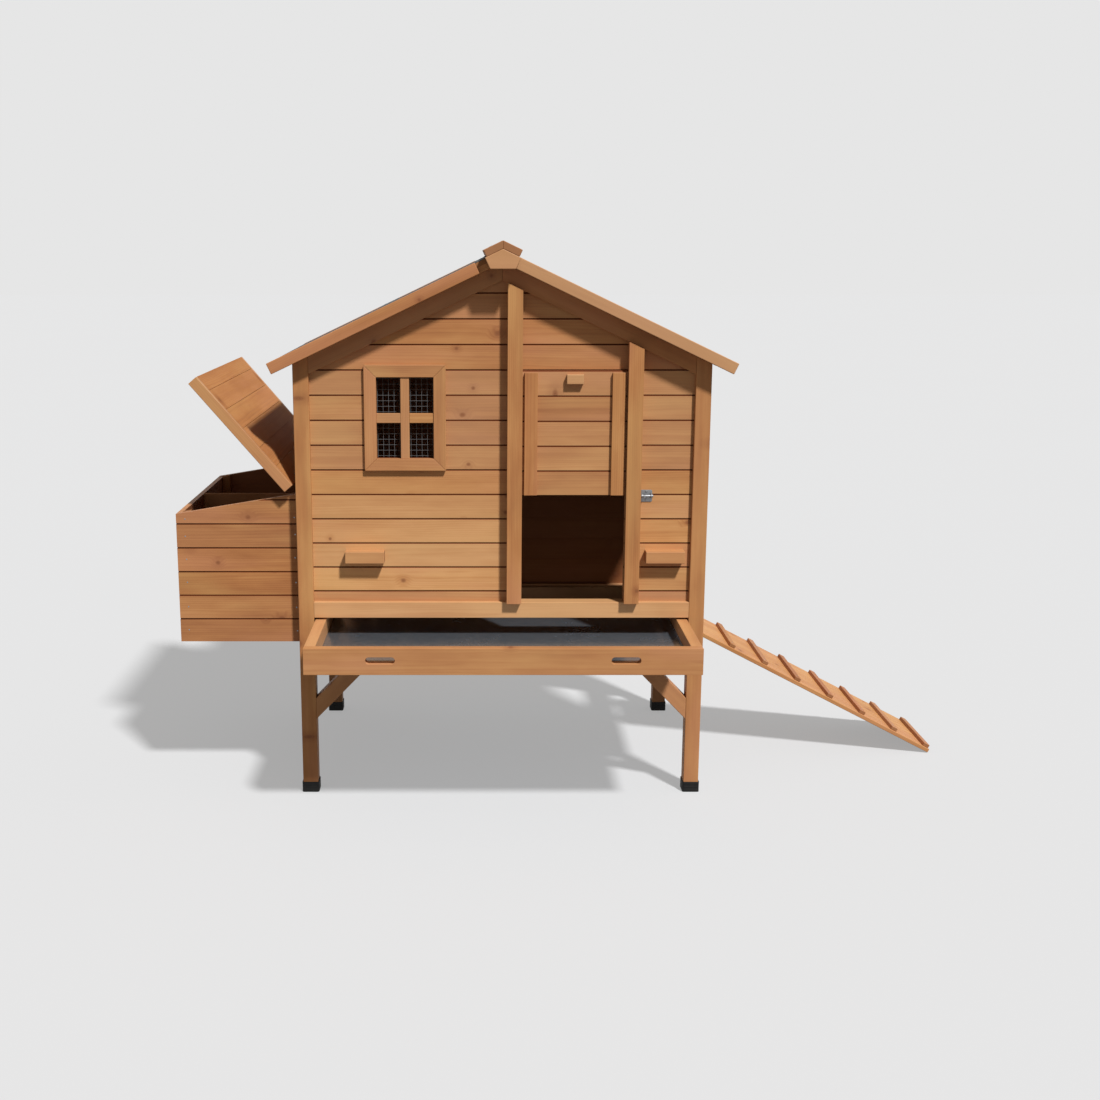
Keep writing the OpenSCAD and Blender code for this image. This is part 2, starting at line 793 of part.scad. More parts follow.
// Nest box
nest_outline = [
    [nest_x, nest_z], [-half_w, nest_z], [-half_w, nest_line(-half_w)], [nest_x, nest_top_z]
];
module nest_front() {
    color(fir) house() boarded_wall(nest_outline,
        row_edges(nest_z, nest_line(-half_w), nest_z), nest_x, -half_w, nest_y0);
}
module nest_rear() {
    color(fir) house() on_rear() boarded_wall([for (p = nest_outline) [-p[0], p[1]]],
        row_edges(nest_z, nest_line(-half_w), nest_z), half_w, -nest_x, nest_y0);
}
module nest_end_wall() {
    x0 = nest_y0 + board_t;
    x1 = nest_y1 - board_t;
    color(fir) house() on_left() boarded_wall(
        [[x0, nest_z], [x1, nest_z], [x1, nest_top_z], [x0, nest_top_z]],
        row_edges(nest_z, nest_top_z, nest_z), x0, x1, -nest_reach);
}
module nest_floor() {
    color(pale_fir) house() block([nest_x + board_t, nest_y0 + board_t, nest_z],
                                  [-half_w, nest_y1 - board_t, nest_z + board_t]);
}
module nest_divider() {
    color(pale_fir) house() block([nest_x + board_t, nest_mid - board_t / 2, nest_z + board_t],
                                  [-half_w, nest_mid + board_t / 2, nest_top_z]);
}
module nest_uprights() {
    color(pale_fir) house() for (x = [nest_x + board_t, -half_w - upright],
                                 y = [nest_y0 + board_t, nest_y1 - board_t - upright])
        along_y(y, y + upright) polygon([
            [x, nest_z + board_t], [x + upright, nest_z + board_t],
            [x + upright, nest_line(x + upright)], [x, nest_line(x)]
        ]);
}
// Ledger on the house wall that carries the lid's hinges
module nest_ledger() {
    top = lid_pin_z + 4;
    color(fir) house() block([-half_w, post, top - ledger_h],
                             [-half_w + ledger_t, rear_y, top]);
}

// One hinge along Y around its pin, whose moving tab folds between the tabs of its fixed leaf
knuckle_w = hinge_w / 3;
tab_len = leaf_w - 6;
module knuckle(k) {
    difference() {
        rod_y(k * knuckle_w + rest_gap, (k + 1) * knuckle_w - rest_gap, knuckle_r);
        rod_y(-1, hinge_w + 1, pin_r + pin_gap);
    }
}
// The two outer knuckles, and a plate up or down the wall at a gap behind them
module fixed_leaf(gap, up) {
    plate_x = -knuckle_r - gap;
    for (k = [0, 2])
        knuckle(k);
    mirror([0, 0, up ? 0 : 1]) difference() {
        block([plate_x, 0, 0], [plate_x + leaf_t, hinge_w, leaf_w]);
        block([plate_x - 1, knuckle_w - rest_gap, -1],
              [plate_x + leaf_t + 1, 2 * knuckle_w + rest_gap, tab_len + 1]);
    }
}
// The middle knuckle with its pin, and a tab whose underside is at z = level
module moving_leaf(level) {
    rod_y(-1, hinge_w + 1, pin_r);
    rod_y(knuckle_w + rest_gap, 2 * knuckle_w - rest_gap, knuckle_r);
    block([0, knuckle_w + rest_gap, level],
          [tab_len, 2 * knuckle_w - rest_gap, level + leaf_t]);
}
lid_hinge_inset = 60;
lid_hinge_places = [nest_y0 + lid_hinge_inset, nest_y1 - lid_hinge_inset - hinge_w];
ramp_hinge_inset = 20;
ramp_hinge_places = [ramp_hinge_inset, ramp_w - ramp_hinge_inset - hinge_w];
module hinge_wall_leaves() {
    color(zinc) house() {
        for (y = ramp_hinge_places)
            translate([ramp_pin_x, ramp_y + y, ramp_pin_z]) fixed_leaf(0, true);
        for (y = lid_hinge_places)
            translate([lid_pin_x, y, lid_pin_z]) mirror([1, 0, 0]) fixed_leaf(lid_pin_gap, false);
    }
}

// The lid, standing open: X away from the wall down the lid, Z square to its top face
module on_lid() {
    translate([lid_pin_x, 0, lid_pin_z]) mirror([1, 0, 0]) rotate([0, nest_fall - lid_open, 0])
        children();
}
module lid_boards() {
    edges = row_edges(lid_start, lid_start + lid_len, lid_start);
    y0 = lid_y0 + lid_rim_t;
    y1 = lid_y1 - lid_rim_t;
    color(fir) house() on_lid() intersection() {
        for (i = [0 : len(edges) - 2])
            along_y(y0, y1)
                polygon([for (p = board_section(edges[i], edges[i + 1], lid_board_t, 0.8, fit))
                         [p[1], -p[0]]]);
        block([lid_start, y0, -lid_board_t], [lid_start + lid_len, y1, 0]);
    }
}
module lid_rims() {
    color(pale_fir) house() on_lid() for (y = [lid_y0, lid_y1 - lid_rim_t])
        block([lid_start, y, -lid_rim_h], [lid_start + lid_len, y + lid_rim_t, 0]);
}
module lid_battens() {
    w = post;
    places = [nest_y0 - 12, nest_mid - w / 2, nest_y1 + 12 - w];
    color(fir) house() on_lid() for (y = places)
        block([lid_start + 8, y, -lid_board_t - lid_batten_t],
              [lid_start + lid_len - 8, y + w, -lid_board_t]);
}
module lid_hinge_leaves() {
    color(zinc) house() on_lid() for (y = lid_hinge_places)
        translate([0, y, 0]) moving_leaf(0);
}

// Tray, standing out at the front
module in_tray() {
    translate([0, -tray_out, tray_z]) children();
}
// The space that the sheet metal floor needs in the grooves of the boards
module pan_space() {
    half = tray_half - tray_side_t + pan_let_in;
    block([-half, tray_front_t - pan_let_in - fit, pan_z - fit],
          [half, tray_d - tray_side_t + pan_let_in + fit, pan_z + pan_t + fit]);
}
module finger_slot(x) {
    for (side = [-1, 1])
        translate([x + side * (slot_w - slot_h) / 2, 0, slot_z])
            rod_y(-1, tray_front_t + 1, slot_h / 2);
    block([x - (slot_w - slot_h) / 2, -1, slot_z - slot_h / 2],
          [x + (slot_w - slot_h) / 2, tray_front_t + 1, slot_z + slot_h / 2]);
}
module tray_front() {
    color(fir) house() in_tray() difference() {
        block([-tray_half, 0, 0], [tray_half, tray_front_t, tray_h]);
        for (side = [-1, 1])
            finger_slot(side * slot_x);
        pan_space();
    }
}
module tray_sides() {
    color(pale_fir) house() in_tray() difference() {
        for (x = [-tray_half, tray_half - tray_side_t])
            block([x, tray_front_t, 0], [x + tray_side_t, tray_d, tray_h]);
        pan_space();
    }
}
module tray_rear() {
    half = tray_half - tray_side_t;
    color(fir) house() in_tray() difference() {
        block([-half, tray_d - tray_side_t, 0], [half, tray_d, tray_h]);
        pan_space();
    }
}
module tray_pan() {
    half = tray_half - tray_side_t + pan_let_in;
    color(zinc) house() in_tray()
        block([-half + fit, tray_front_t - pan_let_in, pan_z],
              [half - fit, tray_d - tray_side_t + pan_let_in - fit, pan_z + pan_t]);
}

// Ramp, resting on the ground
module on_ramp() {
    translate([ramp_pin_x, ramp_y, ramp_pin_z]) rotate([0, ramp_slope, 0]) children();
}
module ramp_board() {
    color(fir) house() on_ramp()
        block([knuckle_r + 1, 0, -ramp_low], [ramp_len, ramp_w, ramp_top]);
}
module ramp_cleats() {
    color(dark_fir) house() on_ramp() for (k = [0 : cleats - 1])
        translate([ramp_len - 3 - cleat_w - k * cleat_pitch, cleat_inset, ramp_top])
            cube([cleat_w, ramp_w - 2 * cleat_inset, cleat_h]);
}
module ramp_hinge_leaves() {
    color(zinc) house() on_ramp() for (y = ramp_hinge_places)
        translate([0, y, 0]) moving_leaf(ramp_top);
}

leg_front_left();
leg_front_right();
leg_rear_left();
leg_rear_right();
foot_caps();
base_rails();
leg_braces();
tray_runners();
front_sill();
rake_rails();
side_top_rails();
front_siding();
rear_siding();
left_siding();
right_siding();
left_wall_stud();
window_frame();
window_muntins();
window_mesh();
front_door_guides();
side_door_guides();
bolt_cases();
lifting_grips();
perches();
perch_holders();
roof_rafters();
roof_boards_left();
roof_boards_right();
roofing_felt();
barge_boards();
gable_plates();
ridge_cap();
nest_front();
nest_rear();
nest_end_wall();
nest_floor();
nest_divider();
nest_uprights();
nest_ledger();
hinge_wall_leaves();
front_door_boards();
front_door_stiles();
front_door_handle();
side_door_boards();
side_door_stiles();
side_door_handle();
front_bolt_rod();
side_bolt_rod();
lid_boards();
lid_rims();
lid_battens();
lid_hinge_leaves();
tray_front();
tray_sides();
tray_rear();
tray_pan();
ramp_board();
ramp_cleats();
ramp_hinge_leaves();
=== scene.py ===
# %% [markdown]
# # A timber hen house on legs
#
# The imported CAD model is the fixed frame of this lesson: every board, rail and hinge already has its
# real size and place, in metres. What is left for Blender is what the eye sees first: softened arrises,
# wood with grain, rings and knots, sheet metal, wire, felt, nails and screws. The CAD pieces are never
# moved, so each new piece takes its place from the box of the CAD node that it stands for.

# %% Load the frame and keep its box
import json
import math
import random

import bmesh
import bpy
from mathutils import Matrix, Vector


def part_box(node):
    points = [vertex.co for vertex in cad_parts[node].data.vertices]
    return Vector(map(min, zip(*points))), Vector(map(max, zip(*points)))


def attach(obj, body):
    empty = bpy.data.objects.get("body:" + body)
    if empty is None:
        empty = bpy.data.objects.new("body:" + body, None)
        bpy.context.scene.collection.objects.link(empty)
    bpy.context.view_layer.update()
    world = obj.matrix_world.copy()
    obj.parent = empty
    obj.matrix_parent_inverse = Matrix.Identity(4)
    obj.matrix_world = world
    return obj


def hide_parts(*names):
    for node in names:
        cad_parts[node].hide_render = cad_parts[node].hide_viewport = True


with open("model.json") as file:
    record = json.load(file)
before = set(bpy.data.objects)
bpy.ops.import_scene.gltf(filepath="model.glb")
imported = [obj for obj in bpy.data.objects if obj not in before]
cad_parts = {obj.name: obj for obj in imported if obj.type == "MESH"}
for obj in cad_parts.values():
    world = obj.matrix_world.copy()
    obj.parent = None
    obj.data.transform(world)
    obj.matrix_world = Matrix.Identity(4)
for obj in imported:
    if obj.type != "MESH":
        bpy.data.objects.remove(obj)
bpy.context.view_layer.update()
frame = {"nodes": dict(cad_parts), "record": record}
record = frame["record"]
body_of_node = {node: body for body, nodes in record["behaviour"]["bodies"].items() for node in nodes}
slot_of_node = {part["node"]: part["material_slot"] for part in record["subparts"]}

# %% [markdown]
# ## The camera
#
# The photograph was taken from about the height of the roof's ridge, looking down by twelve degrees.
# Upright edges draw together a little towards the ground, and level edges that run back meet at a point
# left of the middle. Together they give the place of the camera. It could be found by trial, but a fit
# on known corners is quicker and more exact. The small sideways shift frames the hen house as the
# photograph does without turning the camera.

# %% Camera
CAMERA_PLACE = (0.4026, -3.2137, 1.2768)
LOOKS_DOWN = 12.0
camera_data = bpy.data.cameras.new("camera")
camera_data.lens = 45.86
camera_data.sensor_width = 36.0
camera_data.shift_x = 0.066
camera_data.clip_end = 200.0
camera = bpy.data.objects.new("camera", camera_data)
camera.location = CAMERA_PLACE
camera.rotation_euler = (math.radians(90.0 - LOOKS_DOWN), 0.0, 0.0)
bpy.context.scene.collection.objects.link(camera)
bpy.context.scene.camera = camera
bpy.context.scene.view_settings.view_transform = "Standard"
print("camera at", CAMERA_PLACE, "lens", camera_data.lens)

# %% [markdown]
# ## Sums with sockets
#
# A material is a little machine of nodes, and long chains of Math nodes are hard to read when each one
# is made by hand. A small class that wraps a socket lets the same sums be written as Python writes
# them, with a plain number on either side.


# %% A class for sockets
class Wire:
    """One socket of a node tree, which can stand in a sum as a number does."""

    def __init__(self, recipe, socket):
        self.recipe = recipe
        self.socket = socket

    def other(self, name):
        """Another output of the same node."""
        return Wire(self.recipe, self.socket.node.outputs[name])

    def __add__(self, value):
        return self.recipe.math("ADD", self, value)

    def __radd__(self, value):
        return self.recipe.math("ADD", value, self)

    def __sub__(self, value):
        return self.recipe.math("SUBTRACT", self, value)

    def __rsub__(self, value):
        return self.recipe.math("SUBTRACT", value, self)

    def __mul__(self, value):
        return self.recipe.math("MULTIPLY", self, value)

    def __rmul__(self, value):
        return self.recipe.math("MULTIPLY", value, self)

    def __truediv__(self, value):
        return self.recipe.math("DIVIDE", self, value)

    def __pow__(self, value):
        return self.recipe.math("POWER", self, value)


print("sockets can be added, taken away, multiplied and divided")

# %% [markdown]
# ## One method for every node
#
# Noises, ramps and mixed colours are nodes too, each with settings of its own. Each kind could have a
# function that makes it, but one method that takes the type, the settings and the sockets of a node
# serves for all. The few kinds that come back in every finish get a short name on top of it.


# %% A class for node trees
class Recipe:
    """A node tree that is filled through one method for every kind of node."""

    def __init__(self, tree):
        self.tree = tree

    def add(self, kind, settings=None, sockets=None, out=0):
        node = self.tree.nodes.new(kind)
        for key, value in (settings or {}).items():
            if key == "stops":
                self.set_stops(node.color_ramp, value)
            else:
                setattr(node, key, value)
        for key, value in (sockets or {}).items():
            self.feed(node.inputs[key], value)
        return Wire(self, node.outputs[out])

    def set_stops(self, ramp, stops):
        while len(ramp.elements) < len(stops):
            ramp.elements.new(1.0)
        for element, (place, colour) in zip(ramp.elements, stops):
            element.position = place
            element.color = (*colour, 1.0)

    def feed(self, socket, value):
        """Links a socket to another, or sets it to a value."""
        if isinstance(value, Wire):
            self.tree.links.new(value.socket, socket)
        elif socket.type == "RGBA":
            socket.default_value = (*value, 1.0)
        else:
            socket.default_value = value

    def math(self, operation, *values):
        return self.add("ShaderNodeMath", {"operation": operation}, dict(enumerate(values)))

    def smooth(self, value, low, high):
        """Nought below the low value, one above the high one, and a soft slope between."""
        sockets = {"Value": value, "From Min": low, "From Max": high}
        return self.add("ShaderNodeMapRange", {"interpolation_type": "SMOOTHSTEP"}, sockets)

    def mix(self, factor, a, b):
        return self.add("ShaderNodeMix", {"data_type": "RGBA"}, {0: factor, 6: a, 7: b}, out=2)

    def vector(self, x, y, z):
        return self.add("ShaderNodeCombineXYZ", None, {0: x, 1: y, 2: z})

    def noise(self, place, scale, detail=2.0, roughness=0.5):
        sockets = {"Vector": place, "Scale": scale, "Detail": detail, "Roughness": roughness}
        return self.add("ShaderNodeTexNoise", None, sockets)

    def bump(self, height, strength, distance):
        sockets = {"Height": height, "Strength": strength, "Distance": distance}
        return self.add("ShaderNodeBump", None, sockets)


def new_finish(name, **constants):
    """A material with its recipe and its Principled shader, constants set on the shader's sockets."""
    material = bpy.data.materials.new(name)
    material.use_nodes = True
    recipe = Recipe(material.node_tree)
    shader = material.node_tree.nodes["Principled BSDF"]
    for key, value in constants.items():
        recipe.feed(shader.inputs[key.replace("_", " ")], value)
    return material, recipe, shader


print("a recipe can hold nodes of every kind")

# %% [markdown]
# ## The lamp
#
# The hen house was photographed in soft studio light. One sun lamp with a wide disc comes from the
# right, above and behind the camera, so that every ledge throws the short shadow down to the left that
# the photograph has. Several area lamps could do the same, but one sun is easier to aim, and its
# shadows are equally soft all over the front.

# %% Lamp
SUN_POWER = 4.3
SUN_DISC = 5.0
toward_sun = Vector((0.6, -1.0, 1.45)).normalized()
sun_data = bpy.data.lights.new("key_light", "SUN")
sun_data.energy = SUN_POWER
sun_data.angle = math.radians(SUN_DISC)
sun = bpy.data.objects.new("key_light", sun_data)
sun.rotation_mode = "QUATERNION"
sun.rotation_quaternion = toward_sun.to_track_quat("Z", "Y")
bpy.context.scene.collection.objects.link(sun)
print("light comes from", tuple(round(v, 2) for v in toward_sun))

# %% [markdown]
# ## The world
#
# A pale world fills the shadows, as the walls of a studio do. The backdrop of the photograph is lighter
# than this fill. One strength for both would wash the shadows out, so the camera and shiny surfaces see
# the world as the pale backdrop, and rays that gather light find the weaker fill.

# %% World
FILL_LIGHT = 0.24
BACKGROUND = 0.791


def ray_seen(recipe):
    """One for rays that look at a surface, nought for rays that gather its light."""
    ray = recipe.add("ShaderNodeLightPath", out="Is Camera Ray")
    mirrored = recipe.math("MAXIMUM", ray.other("Is Glossy Ray"), ray.other("Is Transmission Ray"))
    return recipe.math("MAXIMUM", ray, mirrored)


world = bpy.data.worlds.new("studio")
bpy.context.scene.world = world
world.use_nodes = True
world.node_tree.nodes.clear()
sky = Recipe(world.node_tree)
fill = sky.add("ShaderNodeBackground", None, {"Color": (1.0, 0.985, 0.965), "Strength": FILL_LIGHT})
backdrop = sky.add("ShaderNodeBackground", None, {"Color": (1.0, 1.0, 1.0), "Strength": BACKGROUND})
sky_both = sky.add("ShaderNodeMixShader", None, {0: ray_seen(sky), 1: fill, 2: backdrop})
world_out = world.node_tree.nodes.new("ShaderNodeOutputWorld")
sky.feed(world_out.inputs["Surface"], sky_both)
print("fill:", FILL_LIGHT, "backdrop:", BACKGROUND)

# %% [markdown]
# ## The floor
#
# The hen house stands on a plain pale floor that melts into the backdrop. A plane in one pale paint
# would throw too much light up under the tray and the roof, so the floor has two looks as well: the
# camera and shiny surfaces see a pale paint with a glow of its own, and rays that gather light meet a
# darker and warmer one. It lies a hair below the feet, so that it doesn't share a plane with them.

# %% Floor
FLOOR_SIZE = 80.0
FLOOR_MIDDLE = (0.5, 0.3, -0.0004)
FLOOR_GLOW = 0.35
FLOOR_GATHERED = (0.19, 0.175, 0.155)
floor_paint, paint, paint_shader = new_finish("studio_floor", Roughness=0.9, Specular_IOR_Level=0.0,
                                              Emission_Strength=1.0)
floor_cloud = paint.noise(paint.add("ShaderNodeTexCoord", out="Object"), 0.8, 1.0)
pale = paint.mix(floor_cloud, (0.338, 0.339, 0.342), (0.342, 0.343, 0.346))
paint.feed(paint_shader.inputs["Base Color"], pale)
paint.feed(paint_shader.inputs["Emission Color"], (FLOOR_GLOW, FLOOR_GLOW, FLOOR_GLOW))
gathered = paint.add("ShaderNodeBsdfDiffuse", None, {"Color": FLOOR_GATHERED})
looked_at = Wire(paint, paint_shader.outputs[0])
floor_both = paint.add("ShaderNodeMixShader", None, {0: ray_seen(paint), 1: gathered, 2: looked_at})
paint.feed(floor_paint.node_tree.nodes["Material Output"].inputs["Surface"], floor_both)
bpy.ops.object.select_all(action="DESELECT")
bpy.ops.mesh.primitive_plane_add(size=FLOOR_SIZE, location=FLOOR_MIDDLE)
floor = bpy.context.object
floor.name = "studio_floor"
floor.data.materials.append(floor_paint)
print("floor:", floor.dimensions[0], "m square")

# %% [markdown]
# ## Picking by hand in code
#
# Edit mode works on whatever is selected, and the loaded frame comes in selected. So every step first
# clears the selection, takes one piece, and then picks faces or edges by where they are or which way
# they face. Their numbers could be typed instead, but numbers change as soon as the shape does.


# %% Take a piece and pick its faces or edges
def clear_selection():
    if bpy.context.mode != "OBJECT":
        bpy.ops.object.mode_set(mode="OBJECT")
    bpy.ops.object.select_all(action="DESELECT")


def take(piece):
    clear_selection()
    piece.select_set(True)
    bpy.context.view_layer.objects.active = piece


def start_picking(piece, kind):
    """Edit mode on one piece with nothing selected yet."""
    take(piece)
    bpy.ops.object.mode_set(mode="EDIT")
    bpy.ops.mesh.select_mode(type=kind)
    bpy.ops.mesh.select_all(action="DESELECT")
    return bmesh.from_edit_mesh(piece.data)


def pick_faces(piece, test):
    """Edit mode with only the faces selected that pass a test of their middle and normal."""
    work = start_picking(piece, "FACE")
    for face in work.faces:
        face.select_set(bool(test(face.calc_center_median(), face.normal)))
    bmesh.update_edit_mesh(piece.data)


def pick_edges(piece, test):
    """Edit mode with only the edges selected that pass a test of their two ends."""
    work = start_picking(piece, "EDGE")
    for edge in work.edges:
        edge.select_set(bool(test(edge.verts[0].co, edge.verts[1].co)))
    bmesh.update_edit_mesh(piece.data)


print("faces and edges can be picked")

# %% [markdown]
# ## Shaping by hand in code
#
# A primitive is only a start: what is picked is drawn out or rounded, and modifiers do what is the same
# all over a piece. They could stay live, but applied at once they let the next step pick from the real
# shape. A finished piece has its place in its mesh, so its object sits at the origin.


# %% Draw out, round, modify and smooth
def apply_place(piece):
    take(piece)
    bpy.ops.object.transform_apply(location=True, rotation=True, scale=True)


def draw_out(x, y, z):
    """Extrudes the picked edges or faces and leaves edit mode."""
    bpy.ops.mesh.extrude_region_move(TRANSFORM_OT_translate={"value": (x, y, z)})
    bpy.ops.object.mode_set(mode="OBJECT")


def round_off(width, segments):
    """Rounds the picked edges and leaves edit mode."""
    bpy.ops.mesh.bevel(offset=width, segments=segments, affect="EDGES")
    bpy.ops.object.mode_set(mode="OBJECT")


def modify(piece, kind, **settings):
    """Adds a modifier and applies it."""
    take(piece)
    modifier = piece.modifiers.new(kind.lower(), kind)
    for key, value in settings.items():
        setattr(modifier, key, value)
    bpy.ops.object.modifier_apply(modifier=modifier.name)


def soften(piece, width, segments=2, angle=40.0):
    """Rounds every edge at which the surface turns by more than an angle in degrees."""
    modify(piece, "BEVEL", width=width, segments=segments, limit_method="ANGLE",
           angle_limit=math.radians(angle))


def smooth(piece, angle):
    """Shades faces as one surface where it turns by less than an angle in degrees."""
    take(piece)
    bpy.ops.object.shade_smooth_by_angle(angle=math.radians(angle))


print("pieces can be shaped")

# %% [markdown]
# ## Joining, copying and handing over
#
# Screws, nails, caps and bolts repeat. Linked copies would do for a picture, but each finished piece is
# one mesh that moves with one body of the hen house, so the copies get meshes of their own and are
# joined. Handing a piece over says what it is made of, which body it rides on and which CAD nodes it
# stands for.


# %% Join, copy and hand over
def join(pieces, name):
    """Several pieces joined into one mesh."""
    clear_selection()
    for piece in pieces:
        piece.select_set(True)
    bpy.context.view_layer.objects.active = pieces[0]
    if len(pieces) > 1:
        bpy.ops.object.join()
    pieces[0].name = name
    pieces[0].data.name = name
    return pieces[0]


def copies(model, places, name):
    """One model copied to many places, each copy with its own mesh, and joined under one name."""
    made = []
    for place in places:
        copy = bpy.data.objects.new(name, model.data.copy())
        bpy.context.scene.collection.objects.link(copy)
        copy.data.transform(place)
        made.append(copy)
    bpy.data.objects.remove(model)
    return join(made, name)


def hand_over(piece, finish, slot, body, *nodes):
    """A finished piece gets its material and its body, and stands for its CAD nodes; its slot is not used."""
    piece.data.materials.clear()
    piece.data.materials.append(finish)
    if nodes:
        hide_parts(*nodes)
    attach(piece, body)
    print(f"{piece.name}: {len(piece.data.polygons)} faces on {body}")


print("pieces can be joined, copied and handed over")

# %% [markdown]
# ## Telling boards apart
#
# One CAD node can hold a whole wall, and each of its boards was sawn from another part of a log. They
# could be listed by hand, but a walk from corner to corner along the edges finds every board by itself.
# Each board draws its chances by its number, so they are sorted by their middles, rounded to a tenth of
# a millimetre, and have the same numbers each run. Boards that touch along an edge are one mesh there,
# so such a mesh is walked face by face, without crossing that edge, and parted.


# %% Find the boards of a mesh and part those that touch
def groups_of(items, neighbours):
    """Corners or faces in groups, each with all that can be reached from its first member."""
    items.index_update()
    done = [False] * len(items)
    groups = []
    for first in items:
        if done[first.index]:
            continue
        done[first.index] = True
        group = [first]
        for item in group:
            for neighbour in neighbours(item):
                if not done[neighbour.index]:
                    done[neighbour.index] = True
                    group.append(neighbour)
        groups.append(group)
    return groups


def corners_near(corner):
    return [edge.other_vert(corner) for edge in corner.link_edges]


def faces_near(face):
    return [near for edge in face.edges if len(edge.link_faces) == 2 for near in edge.link_faces]


def middle_of(corners):
    total = Vector((0.0, 0.0, 0.0))
    for corner in corners:
        total += corner.co
    return tuple(round(value, 4) for value in total / len(corners))


def boards_of(work):
    """The corners of each board, board by board."""
    return sorted(groups_of(work.verts, corners_near), key=middle_of)


def part_boards(piece):
    """Gives each of the boards that touch along an edge corners of its own there."""
    work = bmesh.new()
    work.from_mesh(piece.data)
    if any(len(edge.link_faces) > 2 for edge in work.edges):
        boards = groups_of(work.faces, faces_near)
        for board in boards[1:]:
            bmesh.ops.split(work, geom=board)
        work.to_mesh(piece.data)
        print(f"{piece.name}: parted into {len(boards)} boards")
    work.free()


print("boards can be told apart")

# %% [markdown]
# ## Which way a board runs
#
# The grain follows the longest edge of a board, and its widest face shows the rings best, so these two
# give the board axes of its own. The axes of the scene would do for level boards, but not for rafters,
# braces and the ramp. The side that faces away from the middle of the house is the one that was stained
# with care, so that side is found too.

# %% The axes of a board
wall_low, wall_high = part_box("front_siding")
HALFWAY_BACK = 0.307
HALFWAY_UP = 0.7
HOUSE_MIDDLE = Vector(((wall_low.x + wall_high.x) / 2.0, HALFWAY_BACK, HALFWAY_UP))
LONGWAYS = 0.3
SLOPED = 0.3


def grain_axes(corners):
    """Along the board, across it, and square to its widest face."""
    edges = {edge for corner in corners for edge in corner.link_edges}
    faces = {face for corner in corners for face in corner.link_faces}
    longest = max(edges, key=lambda edge: (round(edge.calc_length(), 5), tuple(edge.verts[0].co)))
    along = (longest.verts[1].co - longest.verts[0].co).normalized()
    if max(along, key=abs) < 0:
        along.negate()
    sides = [face for face in faces if abs(face.normal.dot(along)) < LONGWAYS]
    widest = max(sides, key=lambda face: (round(face.calc_area(), 7), tuple(face.calc_center_median())))
    depth = (widest.normal - along * widest.normal.dot(along)).normalized()
    return along, depth.cross(along), depth


def way_out(middle, depth):
    """Which way along a board's depth leads out of the house: up on a slope, else away from its middle."""
    toward = depth.z if abs(depth.z) > SLOPED else depth.dot(middle - HOUSE_MIDDLE)
    return depth if toward > 0.0 else -depth


print("middle of the house:", tuple(round(v, 3) for v in HOUSE_MIDDLE))

# %% [markdown]
# ## Wood that knows its grain
#
# A board is sawn from a log, so its pattern comes from the log: thin rings round a heart that lies
# somewhere below the board, knots that grow outwards from the heart, and fibres along it. A texture
# that is only stretched noise misses this. Here each board gets three numbers at every point, how far
# along the grain, across it and from the heart it lies, and the material works the rings and knots out
# from them. Each board also gets a tone of its own, because no two boards take the stain alike.
#
# Between tongued boards and inside the house the wood is painted dark and red and made dull: this is
# painted shade. Faces there are marked for it. Light could be left to darken them, but their colour in
# the photograph is too strong for that. The outermost edges of a wall and slanting cuts look like the
# outside and aren't marked.

# %% What a board is marked with
LEVEL = ((0.0, 0.0), (1.0, 0.0))
LOG_LENGTH = 40.0
OFF_HEART = 0.05
HEART_DEPTH = (0.03, 0.1)
SHORT_WALL = 0.001
LEAN_REACH = 0.2
ENDWISE = 0.75
SLANTING = 0.05
EDGE_SKIN = 0.0005
BACK_SKIN = 0.001
CHAMFER_DEPTH = 0.0016
CHAMFER_FACING = 0.9
# How strongly painted shade darkens the backs of boards inside the house, and the faces in their grooves.
INSIDE_SHADE = 0.76
GROOVE_SHADE = 1.0


def between(points, place):
    """The height of a line through points at a place."""
    for (start, low), (end, high) in zip(points, points[1:]):
        if place <= end:
            return low + (high - low) * max(0.0, place - start) / (end - start)
    return points[-1][1]


def mark_painted_shade(work, corners, axes, hidden):
    """Marks painted shade: the back of a board as inside, and its chamfers and tongued edges as groove."""
    along, across, depth = axes
    middle = Vector(middle_of(corners))
    outward = way_out(middle, depth)
    heights = [(corner.co - middle).dot(outward) for corner in corners]
    rows = [corner.co.dot(across) for corner in work.verts]
    first_edge = min(rows) + EDGE_SKIN
    last_edge = max(rows) - EDGE_SKIN
    for face in {face for corner in corners for face in corner.link_faces}:
        endwise = abs(face.normal.dot(along))
        centre = face.calc_center_median()
        height = (centre - middle).dot(outward)
        if endwise > ENDWISE:
            continue
        if height < min(heights) + BACK_SKIN:
            face[hidden] = INSIDE_SHADE
        elif endwise <= SLANTING and first_edge < centre.dot(across) < last_edge:
            if height < max(heights) - CHAMFER_DEPTH or face.normal.dot(outward) < CHAMFER_FACING:
                face[hidden] = GROOVE_SHADE


